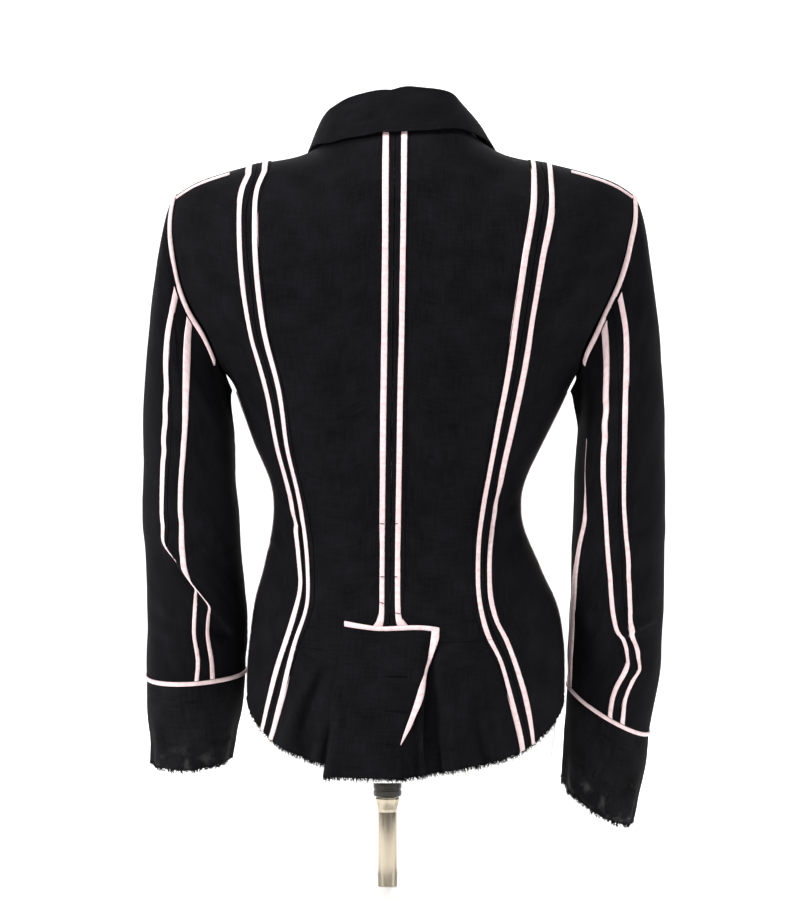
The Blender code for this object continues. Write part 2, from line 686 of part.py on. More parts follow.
def build_flap():
    """Adds the tongue that lies over the middle of the peplum, with its two tapes."""
    heights = np.array([row[0] for row in FLAP]) * MM
    edges = []
    for side in ("left", "right"):
        levels = heights
        for _ in range(3):
            turn = turn_for_x(flap_x[side](heights), levels)
            levels = low_level(turn, heights)
        edges.append(turn)
    turns = blend_columns(*edges, heights, [0.0], [0.0, TAPE_WIDTH], FLAP_INSIDE)
    panel = Panel(turns, low_level(turns, heights[:, None]), np.full(turns.shape, FLAP_LIFT + WALL))
    panel.wall("vent_flap")
    panel.laid("tape_flap_top", slice(-2, None), slice(0, None))
    panel.laid("tape_flap_edge", slice(1, -2), slice(-2, None))


class Sleeve:
    """A sleeve as rings: the armhole, the rows of the cap, then the rows of its table."""

    def __init__(self, side):
        self.side = side
        self.sign = -1.0 if side == "left" else 1.0
        self.arm = SLEEVE_LEFT if side == "left" else SLEEVE_RIGHT
        self.cuff = CUFF_LEFT if side == "left" else CUFF_RIGHT
        self.back_edge = self.edge_line(BACK_TOP, front=False)
        self.front_edge = self.edge_line(FRONT_TOP, front=True)

    def edge_line(self, top, front):
        """Returns the armhole's edge from the shoulder down, with its length shares and normals."""
        low = np.array([level for level in LOWER_LEVELS if level * MM >= UNDERARM_Z]) * MM
        high = ROLL_START + (top - ROLL_START) * np.array(UPPER_SHARES)
        levels = np.concatenate([low, high])[::-1]
        turns = armhole_turn(self.side, levels, front)
        points = body_point(turns, levels)
        lengths = np.append(0.0, np.cumsum(np.linalg.norm(np.diff(points, axis=0), axis=1)))
        return lengths / lengths[-1], points, body_normal(turns, levels)

    def armhole_ring(self, angles):
        """Returns points and normals on the armhole; angle 0 is the shoulder, 180 the underarm."""
        angles = np.mod(angles, 360.0)
        share = np.where(angles <= 180.0, angles, 360.0 - angles) / 180.0
        rings = []
        for shares, points, normals in (self.back_edge, self.front_edge):
            rings.append([np.stack([np.interp(share, shares, source[:, axis]) for axis in range(3)], -1)
                          for source in (points, normals)])
        on_back = (angles <= 180.0)[:, None]
        return np.where(on_back, rings[0][0], rings[1][0]), np.where(on_back, rings[0][1], rings[1][1])

    def table_ring(self, row, angles):
        """Returns the ring of one table row; angle 0 is its outer edge, 90 its back."""
        outer_x, outer_z, inner_x, inner_z, _, middle_y, half_depth, back_drop = (v * MM for v in row)
        turn = np.radians(angles)
        across = 0.5 * (1 - np.cos(turn))
        x = outer_x + (inner_x - outer_x) * across
        y = middle_y - half_depth * np.sin(turn)
        z = outer_z + (inner_z - outer_z) * across - back_drop * np.sin(turn)
        return np.stack([x, y, z], -1)

    def seam_angle(self, row):
        """Returns the angle of the back seam on a table row, from its x."""
        outer_x, _, inner_x, _, seam_x = row[:5]
        return math.degrees(math.acos(1 - 2 * (seam_x - outer_x) / (inner_x - outer_x)))

    def column_angles(self, row, piece):
        """Returns a row's column angles for the top or the under piece of the sleeve."""
        back = self.seam_angle(row)
        front = FRONT_SEAM_TURN[self.side]
        girth = math.pi * (abs(row[0] - row[2]) / 2 + row[6]) * MM / 360.0
        near = np.array([0.5 * SEAM_GAP, TAPE_NEAR, TAPE_FAR]) / girth
        if piece == "under":
            start = back + near
            end = front - near[::-1]
        else:
            start = back - near
            end = front - 360.0 + near[:1]
        inside = UNDER_INSIDE if piece == "under" else TOP_INSIDE
        middle = start[-1] + (end[0] - start[-1]) * np.arange(1, inside + 1) / (inside + 1)
        return np.concatenate([start, middle, end])

    def grid(self, piece, turned=0.0):
        """Returns the points of a piece: the armhole, the rows of the cap and the table's rows."""
        first = self.column_angles(self.arm[0], piece) + turned
        table = [self.table_ring(row, self.column_angles(row, piece) + turned) for row in self.arm]
        start, self.start_normals = self.armhole_ring(first)
        share = 0.5 * (1 - np.cos(np.radians(first)))
        fall = np.radians(CAP_FALL_TOP + (CAP_FALL_UNDER - CAP_FALL_TOP) * share ** CAP_FALL_POWER)
        reach = CAP_REACH["top"] + (CAP_REACH["under"] - CAP_REACH["top"]) * share
        leave = np.stack([self.sign * np.cos(fall), 0 * fall, -np.sin(fall)], -1) * reach[:, None]
        gap = ARMHOLE_GAP + UNDERARM_GAP * share[:, None] ** 2
        start = start + leave / np.linalg.norm(leave, axis=1, keepdims=True) * gap
        arrive = (table[1] - table[0]) / np.linalg.norm(table[1] - table[0], axis=1, keepdims=True)
        arrive = arrive * (CAP_REACH["hang"] * (1 - CAP_ARRIVE_LOSS * share))[:, None]
        cap = []
        lengths = np.linalg.norm(table[0] - start, axis=1, keepdims=True)
        tape_share = np.clip(ARMHOLE_BAND / (lengths + CAP_CURVE_SHARE * reach[:, None]), *CAP_BAND_LIMITS)
        for k in range(CAP_ROWS + 1):
            t = np.zeros_like(tape_share) if k == 0 else tape_share + (1 - tape_share) * (k - 1) / CAP_ROWS
            ease = t * t * (3 - 2 * t)
            cap.append(start + (table[0] - start) * ease + leave * t * (1 - t) ** 2
                       - arrive * t * t * (1 - t))
        return np.stack(cap + table)

    def normals(self, grid, piece):
        """Returns outward directions; at the top of the cap they turn to the body's own."""
        around = self.grid(piece, 0.5) - self.grid(piece, -0.5)
        normal = np.cross(around, np.gradient(grid, axis=0)) * self.sign
        normal = normal / np.linalg.norm(normal, axis=-1, keepdims=True)
        alike = np.sum(normal[0] * self.start_normals, axis=1, keepdims=True)
        share = smooth_step(CAP_NORMAL_BLEND[0] * alike - CAP_NORMAL_BLEND[1])
        mixed = normal[0] * (1 - share) + self.start_normals * share
        normal[0] = mixed / np.linalg.norm(mixed, axis=1, keepdims=True)
        return normal

    def build(self):
        """Adds the two pieces, the cuff below them and every tape of the sleeve."""
        pieces = []
        for piece in ("under", "top"):
            grid = self.grid(piece)
            normal = self.normals(grid, piece)
            add_wall(side_name("sleeve_" + piece, self.side), grid, grid - normal * WALL, "linen")
            lay_strip(side_name("tape_sleeve_" + piece, self.side), grid[2:-1, 1:3], normal[2:-1, 1:3])
            pieces.append((grid, normal))
        under, out = pieces[0]
        front_rows = slice(CAP_ROWS + 1, -1)
        lay_strip(side_name("tape_sleeve_front", self.side), under[front_rows, -3:-1], out[front_rows, -3:-1])
        angles = np.concatenate([self.column_angles(self.arm[0], "under"),
                                 self.column_angles(self.arm[0], "top")[::-1] + 360.0])
        order = np.argsort(np.where(angles > 180.0, angles - 360.0, angles))
        shown = order[np.abs(np.sort(np.where(angles > 180.0, angles - 360.0, angles))) < ARMHOLE_TAPE_REACH]
        ring = [np.concatenate([pieces[0][k], pieces[1][k][:, ::-1]], axis=1) for k in (0, 1)]
        edge = ring[0][:2, shown].copy()
        edge[0] += (edge[1] - edge[0]) * ARMHOLE_TAPE_START
        lay_strip(side_name("tape_armhole", self.side), edge, ring[1][:2, shown])
        band = ring[0][-2:].copy()
        band[0] += (band[1] - band[0]) * CUFF_TAPE_START
        lay_strip(side_name("tape_cuff", self.side), band, ring[1][-2:], ring=True)
        self.build_cuff()

    def build_cuff(self):
        """Adds the thin raw-edged band below the sleeve."""
        angles = np.arange(CUFF_COLUMNS) * 360.0 / CUFF_COLUMNS
        rings = np.stack([self.table_ring(row, angles) for row in self.cuff])
        normal = grid_normals(rings, ring=True) * self.sign
        add_wall(side_name("cuff", self.side), rings, rings - normal * WALL, "linen", ring=True)


def lay_strip(name, points, normals, ring=False):
    """Adds a tape that lies on a band of points."""
    seat = points + normals * TAPE_LIFT
    return add_wall(name, seat + normals * TAPE_WALL, seat, "satin_tape", ring)


def over_shoulder(beside, roll):
    """Returns points and normals at a signed distance from the middle and a roll from back to front."""
    front = roll > 90.0
    level = ROLL_START + ROLL_SPAN * np.where(front, 180.0 - roll, roll) / 90.0
    rise = np.abs(np.sin(np.radians(roll))) ** (2 / ROLL_POWER)
    half = half_widths(ROLL_START + (SHOULDER_POINT_Z - ROLL_START) * rise)[1]
    turn = np.degrees(np.arcsin(np.clip(np.abs(beside) / half, 0, 1) ** (BODY_POWER / 2)))
    turn = np.where(front, 180.0 - turn, turn) * np.sign(beside)
    return body_point(turn, level), body_normal(turn, level)


def build_collar():
    """Adds the turned-down collar: a stand, a soft fold and a fall, as one wall."""
    half = np.linspace(0.0, COLLAR[-1][0], COLLAR_PLACES // 2 + 1)
    read = {name: table_curve(COLLAR_COLUMNS, COLLAR, "place", name, unit=1.0, key_unit=1.0)
            for name in COLLAR_COLUMNS[1:]}
    sides = []
    for sign in (-1.0, 1.0):
        shift = read["shift"](half) * MM
        seam, seam_out = over_shoulder(sign * read["seam_apart"](half) * MM + shift, read["seam_roll"](half))
        edge, edge_out = over_shoulder(sign * read["edge_apart"](half) * MM + shift, read["edge_roll"](half))
        seam = seam + seam_out * (read["seam_lift"](half) * MM)[:, None]
        edge = edge + edge_out * (read["edge_lift"](half) * MM)[:, None]
        out = edge - seam
        out[:, 2] = 0
        out = out / np.linalg.norm(out, axis=1, keepdims=True)
        up = np.array([0.0, 0.0, 1.0])
        fold_up = (read["fold_up"](half) * MM)[:, None]
        fold_out = (read["fold_out"](half) * MM)[:, None]
        top = seam + (up + np.array([COLLAR_LEAN, 0.0, 0.0])) * fold_up + out * fold_out
        radius = np.minimum(COLLAR_FOLD, COLLAR_FOLD_SHARE * fold_up)
        inner = top - up * radius - out * radius
        outer = top - up * radius + out * radius
        puff = (out * COLLAR_BELLY_WAY[0] + up * COLLAR_BELLY_WAY[1]) * (read["belly"](half) * MM)[:, None]
        belly = 0.5 * (outer + edge) + puff
        lower = edge + (outer - edge) * COLLAR_LOWER_SHARE + 0.5 * puff
        columns = [seam, 0.5 * (seam + inner), inner, top, outer, belly, lower, edge]
        sides.append(np.stack(columns, axis=1))
    grid = np.concatenate([sides[0][::-1], sides[1][1:]])
    normal = grid_normals(grid)
    add_wall("collar", grid, grid - normal * WALL, "linen")


def build_lapel(side):
    """Adds the turned-back top of a front, lying on the chest."""
    sign = -1.0 if side == "left" else 1.0
    levels = np.linspace(LAPEL[0][0], LAPEL[-1][0], LAPEL_ROWS) * MM
    read = {name: table_curve(LAPEL_COLUMNS, LAPEL, "z", name) for name in ("roll", "outer")}
    grid_levels = []
    columns = []
    for share in np.linspace(0.0, 1.0, LAPEL_ACROSS):
        apart = read["roll"](levels) + (read["outer"](levels) - read["roll"](levels)) * share
        level = level_for_height(levels, apart)
        half = half_widths(level_height(level))[1]
        turn = np.degrees(np.arcsin(np.clip(apart / half, 0, 1) ** (BODY_POWER / 2)))
        columns.append((180.0 - turn) * sign)
        grid_levels.append(level)
    turns = np.stack(columns, axis=1)
    grid = np.stack(grid_levels, axis=1)
    share = np.linspace(0.0, 1.0, LAPEL_ACROSS)
    climb = (levels - levels[0]) / (levels[-1] - levels[0])
    lift = LAPEL_LIFT + LAPEL_BELLY * np.sin(math.pi * share)[None, :]
    lift = lift + LAPEL_FOOT_LIFT * (1 - climb)[:, None] ** 2
    panel = Panel(turns, grid, lift + WALL)
    panel.wall(side_name("lapel", side))


def level_height(level):
    """Returns the armhole height that sets a level's width."""
    roll = np.clip((level - ROLL_START) / ROLL_SPAN, 0.0, 1.0) * (math.pi / 2)
    high = ROLL_START + (SHOULDER_POINT_Z - ROLL_START) * np.sin(roll) ** (2 / ROLL_POWER)
    return np.where(level > ROLL_START, high, level)


def level_for_height(z, apart):
    """Returns the level at which the surface reaches a height, at a distance from the middle."""
    share = np.clip((z - ROLL_START) / (ridge_z(apart) - ROLL_START), 0.0, 1.0)
    roll = np.arcsin(share ** (ROLL_POWER / 2))
    return np.where(z > ROLL_START, ROLL_START + ROLL_SPAN * roll / (math.pi / 2), z)


def build_buttons():
    """Adds the plain closing buttons on the front edge."""
    for number, (height, lift) in enumerate(BUTTONS, start=1):
        turn = np.array([180.0])
        level = np.array([height * MM])
        out = body_normal(turn, level)[0]
        seat = body_point(turn, level)[0] + out * (FRONT_STEP + lift * MM)
        side = np.array([1.0, 0.0, 0.0])
        up = np.cross(out, side)
        angle = np.arange(BUTTON_SIDES) * 2 * math.pi / BUTTON_SIDES
        spoke = np.cos(angle)[:, None] * side + np.sin(angle)[:, None] * up
        rings = [seat + out * thick * BUTTON_THICK + spoke * radius * BUTTON_RADIUS
                 for radius, thick in BUTTON_PROFILE]
        add_turned(f"button_{number}", rings, "button")


def add_turned(name, rings, material, top_open=False):
    """Closes a stack of rings with a face at each end, or at the lower end alone."""
    count = len(rings[0])
    points = np.concatenate(rings)
    faces = [tuple(range(count))]
    for r in range(len(rings) - 1):
        for c in range(count):
            d = (c + 1) % count
            faces.append((r * count + c, r * count + d, (r + 1) * count + d, (r + 1) * count + c))
    if not top_open:
        faces.append(tuple(range((len(rings) - 1) * count, len(rings) * count)))
    return add_body(name, points, faces, material)


def build_form():
    """Adds the smooth limbless torso inside the jacket, clear of the cloth all round."""
    turns = np.arange(FORM_COLUMNS) * 360.0 / FORM_COLUMNS - 180.0
    inset = WALL + FORM_INSET
    rings = []
    for level, scale, top in FORM_ROWS:
        cut = FORM_SIDE_CUT * smooth_step((level * MM - FORM_CUT_START) / FORM_CUT_FADE)
        ring = body_point(turns, np.full(turns.shape, level * MM), inset + cut, WALL + top * MM, folded=0.0)
        if level * MM <= ROLL_START:
            ring[:, 2] = max(level * MM, FORM_BOTTOM_Z)
        ring[:, 1] = np.maximum(ring[:, 1], -FORM_BACK_MOST) * scale
        middle = half_widths(np.array([min(level * MM, SHOULDER_POINT_Z)]))[0][0]
        apart = np.abs(ring[:, 0] - middle)
        ring[:, 0] = middle + (ring[:, 0] - middle) * scale
        if level * MM > ROLL_START:
            ring[:, 2] -= FORM_NECK_DROP * smooth_step((FORM_NECK_REACH - apart) / FORM_NECK_FADE)
            ring[:, 2] = np.minimum(ring[:, 2], FORM_NECK_Z)
        rings.append(ring)
    item = add_turned("form", rings, "form_cover", top_open=True)
    shape = bmesh.new()
    shape.from_mesh(item.data)
    bmesh.ops.remove_doubles(shape, verts=shape.verts, dist=FORM_MERGE)
    bmesh.ops.recalc_face_normals(shape, faces=shape.faces)
    shape.to_mesh(item.data)
    shape.free()


def add_disc(name, radius, low, high, bevel, material, sides=48):
    """Adds an upright round piece with a bevelled rim."""
    shape = bmesh.new()
    bmesh.ops.create_cone(shape, cap_ends=True, segments=sides, radius1=radius, radius2=radius,
                          depth=high - low)
    bmesh.ops.translate(shape, verts=shape.verts, vec=(0.0, 0.0, 0.5 * (low + high)))
    if bevel:
        rims = [edge for edge in shape.edges if abs(edge.verts[0].co.z - edge.verts[1].co.z) < 1e-6
                and edge.verts[0].co.z > 0.5 * (low + high)]
        bmesh.ops.bevel(shape, geom=rims, offset=bevel, segments=2, affect="EDGES")
    mesh = bpy.data.meshes.new(name)
    shape.to_mesh(mesh)
    shape.free()
    mesh.materials.append(finish(material))
    item = bpy.data.objects.new(name, mesh)
    bpy.context.scene.collection.objects.link(item)
    mesh.shade_smooth()
    mesh.set_sharp_from_angle(angle=math.radians(40))
    return item


def build_stand():
    """Adds the base plate, the pole and the clamp that carry the form."""
    add_disc("base", BASE_RADIUS, 0.0, BASE_THICK, 2 * MM, "base_paint")
    clamp_low = FORM_BOTTOM_Z - REST_GAP - CLAMP_HEIGHT
    add_disc("pole", POLE_RADIUS, BASE_THICK + REST_GAP, clamp_low - REST_GAP, 0.0, "chrome", 32)
    add_disc("clamp", CLAMP_RADIUS, clamp_low, clamp_low + CLAMP_HEIGHT, 1.5 * MM, "dark_metal", 32)


def main():
    """Builds every piece in order."""
    clear_scene()
    for side in ("left", "right"):
        build_back(side)
        build_peplum(side)
        build_side(side)
        build_front(side)
        Sleeve(side).build()
        build_lapel(side)
    build_flap()
    build_collar()
    build_buttons()
    build_form()
    build_stand()


main()
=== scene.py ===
"""Looks of a fitted linen jacket with satin-bound seams, shown on a limbless torso form.

Metres, +Z up, in the CAD model's own frame: the jacket's back faces -Y, its front +Y.
Every cloth piece is a surface worked out on a grid of two parameters, laid on the same
body and sleeve shapes as the solids, with creases, bindings, stitches and frayed edges.
"""
import logging
import math
from dataclasses import dataclass, field
from enum import Enum
from typing import Callable, Sequence

import bmesh
import bpy
import numpy as np
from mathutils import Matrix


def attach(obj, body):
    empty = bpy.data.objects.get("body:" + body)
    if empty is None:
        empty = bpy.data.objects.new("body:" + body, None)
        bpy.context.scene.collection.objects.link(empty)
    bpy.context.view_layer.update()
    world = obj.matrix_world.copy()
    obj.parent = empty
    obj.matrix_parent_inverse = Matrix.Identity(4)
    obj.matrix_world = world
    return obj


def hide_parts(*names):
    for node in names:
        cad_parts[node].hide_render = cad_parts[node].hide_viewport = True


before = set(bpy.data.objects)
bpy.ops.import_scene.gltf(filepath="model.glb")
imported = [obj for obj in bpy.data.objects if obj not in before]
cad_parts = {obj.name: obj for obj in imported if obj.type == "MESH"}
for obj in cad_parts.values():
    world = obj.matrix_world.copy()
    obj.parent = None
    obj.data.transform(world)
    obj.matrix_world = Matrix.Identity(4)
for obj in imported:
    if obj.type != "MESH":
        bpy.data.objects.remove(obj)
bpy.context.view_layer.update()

LOG = logging.getLogger("jacket")

MM = 0.001
Array = np.ndarray
SIDES = {"left": -1.0, "right": 1.0}

# the linen's thickness, and half the gap at a seam
CLOTH = 0.7 * MM
SEAM_HALF = 0.15 * MM
# a turned-back allowance: its edges beside the seam, its inside above the cloth, its lift and thickness
ALLOWANCE_NEAR = 0.3 * MM
ALLOWANCE_REACH = 10.4 * MM
ALLOWANCE_UNDER = 0.12 * MM
ALLOWANCE_LIFT = 0.45 * MM
ALLOWANCE_THICK = 0.35 * MM
# the edges of a tape beside a seam that the photograph doesn't show
TAPE_NEAR = 4.7 * MM
TAPE_FAR = 11.2 * MM


def smooth_step(value: Array) -> Array:
    """Eases from 0 to 1: 3t squared less 2t cubed, with t held between 0 and 1."""
    value = np.clip(value, 0.0, 1.0)
    return value * value * (3 - 2 * value)


def unit(vectors: Array) -> Array:
    """Scales vectors to length one."""
    return vectors / np.maximum(np.linalg.norm(vectors, axis=-1, keepdims=True), 1e-12)


def cubic_between(start: Array, end: Array, slope_start: Array, slope_end: Array, span: Array,
                  t: Array) -> Array:
    """Returns the cubic from start to end with given slopes at both, t being the share of the span."""
    pull = t * (1 - t) * ((1 - t) * slope_start - t * slope_end) * span
    return start + (end - start) * t * t * (3 - 2 * t) + pull


def lengths_along(line: Array) -> Array:
    """Returns the length of a line up to each of its points."""
    return np.append(0.0, np.linalg.norm(np.diff(line, axis=0), axis=1).cumsum())


def read_line(values: Array, lengths: Array, at: Array) -> Array:
    """Returns what is given at each point of a line, read at other lengths along it."""
    return np.stack([np.interp(at, lengths, values[:, k]) for k in range(3)], -1)


def cloth_places(grid: Array, ring: bool = False) -> Array:
    """Returns cloth coordinates of a grid of points: the lengths across it and down it."""
    first = grid[:, -1:] if ring else grid[:, :1]
    across = np.linalg.norm(np.diff(grid, axis=1, prepend=first), axis=-1).cumsum(axis=1)
    down = np.linalg.norm(np.diff(grid, axis=0, prepend=grid[:1]), axis=-1).cumsum(axis=0)
    return np.stack([across, down], -1)


class Face(Enum):
    """Which side of a piece a crease lies on."""

    BACK = "back"
    FRONT = "front"


class TableCurve:
    """A smooth curve through a table's rows: a cubic between neighbours, flatter at turning points."""

    def __init__(self, rows: Sequence[Sequence[float]], column: int, unit_out: float = MM,
                 unit_in: float = MM, keys: Sequence[float] | None = None) -> None:
        """Reads one column of a table against its first column, or against given keys.

        Args:
            rows: the table.
            column: the column to read.
            unit_out: metres for each unit of the column.
            unit_in: metres for each unit of the key.
            keys: the keys, where they aren't the first column.
        """
        self.keys = np.array([row[0] for row in rows] if keys is None else keys, float) * unit_in
        self.values = np.array([row[column] for row in rows], float) * unit_out
        steps = np.diff(self.values) / np.diff(self.keys)
        total = steps[:-1] + steps[1:]
        inner = np.where(steps[:-1] * steps[1:] > 0, 0.5 * total, 0.25 * total)
        self.slopes = np.concatenate([steps[:1], inner, steps[-1:]])

    def __call__(self, place: Array) -> Array:
        """Returns the value at each place, held at the table's ends."""
        place = np.clip(np.asarray(place, float), self.keys[0], self.keys[-1])
        i = np.clip(np.searchsorted(self.keys, place) - 1, 0, len(self.keys) - 2)
        span = self.keys[i + 1] - self.keys[i]
        t = (place - self.keys[i]) / span
        return cubic_between(self.values[i], self.values[i + 1], self.slopes[i], self.slopes[i + 1], span, t)


class SmoothNoise:
    """Gentle random relief: random values on a lattice, eased between its points."""

    SIZE = 24

    def __init__(self, seed: int, cell: float) -> None:
        """Draws the lattice.

        Args:
            seed: the seed of the random values.
            cell: the distance between lattice points, in metres.
        """
        self.cell = cell
        self.lattice = np.random.default_rng(seed).uniform(-1, 1, (self.SIZE,) * 3)

    def __call__(self, points: Array) -> Array:
        """Returns values from -1 to 1 at points, by easing between eight lattice corners."""
        place = points / self.cell
        low = np.floor(place).astype(int)
        t = smooth_step(place - low)
        total = np.zeros(points.shape[:-1])
        for corner in np.ndindex(2, 2, 2):
            i = np.mod(low + corner, self.SIZE)
            weight = np.prod(np.where(np.array(corner) == 1, t, 1 - t), axis=-1)
            total = total + weight * self.lattice[i[..., 0], i[..., 1], i[..., 2]]
        return total


@dataclass(frozen=True)
class Crease:
    """A soft trough (depth below 0) or ridge along a line from start to end, in x and z millimetres."""

    start: tuple[float, float]
    end: tuple[float, float]
    width: float
    depth: float
    bow: float = 0.0
    face: Face = Face.BACK

    def height(self, x: Array, z: Array) -> Array:
        """Returns the height at places: a bell across the line, faded at both ends.

        Args:
            x: places across, in metres.
            z: heights, in metres.

        Returns:
            Heights in metres, square to the cloth.
        """
        run = (np.array(self.end) - np.array(self.start)) * MM
        length = np.linalg.norm(run)
        along = ((x - self.start[0] * MM) * run[0] + (z - self.start[1] * MM) * run[1]) / length ** 2
        across = ((x - self.start[0] * MM) * run[1] - (z - self.start[1] * MM) * run[0]) / length
        across = across - self.bow * MM * 4 * along * (1 - along)
        share = across / (self.width * MM)
        window = smooth_step(along / 0.3) * smooth_step((1 - along) / 0.3)
        bell = np.exp(-share ** 2) - 0.3 * np.exp(-(share - 1.7) ** 2) - 0.2 * np.exp(-(share + 1.9) ** 2)
        return self.depth * MM * window * bell


def creases_from(rows: Sequence[Sequence[float]], face: Face = Face.BACK) -> tuple[Crease, ...]:
    """Returns creases from rows of start x, start z, end x, end z, width, depth and bow."""
    return tuple(Crease(row[:2], row[2:4], *row[4:], face) for row in rows)


@dataclass(frozen=True)
class Overhang:
    """A fold whose upper cloth hangs over the lower, along a line in x and z millimetres."""

    start: tuple[float, float]
    end: tuple[float, float]
    drop: float
    out: float
    above: float
    below: float

    def shift(self, x: Array, z: Array) -> tuple[Array, Array, Array]:
        """Returns how far places move along x and z, and outwards.

        The drop eases out over a distance above the line and quickly below it, and the cloth
        stands out above the line and lies back below it.

        Args:
            x: places across, in metres.
            z: heights, in metres.

        Returns:
            Moves along x, along z and square to the cloth, in metres.
        """
        run = (np.array(self.end) - np.array(self.start)) * MM
        length = np.linalg.norm(run)
        run = run / length
        along = ((x - self.start[0] * MM) * run[0] + (z - self.start[1] * MM) * run[1]) / length
        up = np.array([-run[1], run[0]]) * (1.0 if run[0] > 0 else -1.0)
        apart = (x - self.start[0] * MM) * up[0] + (z - self.start[1] * MM) * up[1]
        window = smooth_step(along / 0.28 + 0.35) * smooth_step((1 - along) / 0.28 + 0.35)
        high = np.exp(-np.clip(apart, 0, None) / (self.above * MM))
        low = 1 - smooth_step(-apart / (self.below * MM))
        drop = np.where(apart > 0, high, low) * self.drop * MM * window
        rise = np.where(apart > 0, high, 2 * low - 1) * smooth_step(1.2 - np.abs(apart) / (3 * self.above * MM))
        return -up[0] * drop, -up[1] * drop, rise * self.out * MM * window


class Surface:
    """A cloth surface over two parameters, u round it and v along it."""

    u_step = 0.4
    v_step = 0.6 * MM

    def base(self, u: Array, v: Array) -> Array:
        """Returns points of the smooth surface."""
        raise NotImplementedError

    def place(self, u: Array, v: Array, lift: Array | float = 0.0) -> Array:
        """Returns points of the creased surface, lifted off it."""
        raise NotImplementedError

    def shift_u(self, u: Array, v: Array, distance: Array | float, steps: int = 4) -> Array:
        """Returns u moved sideways by a distance measured on the cloth, in short steps."""
        for _ in range(steps):
            reach = self.base(u + self.u_step, v) - self.base(u - self.u_step, v)
            u = u + distance / steps * 2 * self.u_step / np.maximum(np.linalg.norm(reach, axis=-1), 1e-6)
        return u

    def shift_v(self, u: Array, v: Array, distance: Array | float, steps: int = 8) -> Array:
        """Returns v moved along by a distance measured on the cloth, in short steps."""
        for _ in range(steps):
            ahead = v + np.where(np.asarray(distance) < 0, -1.0, 1.0) * self.v_step
            reach = np.linalg.norm(self.base(u, ahead) - self.base(u, v), axis=-1)
            v = v + distance / steps * self.v_step / np.maximum(reach, 1e-6)
        return v


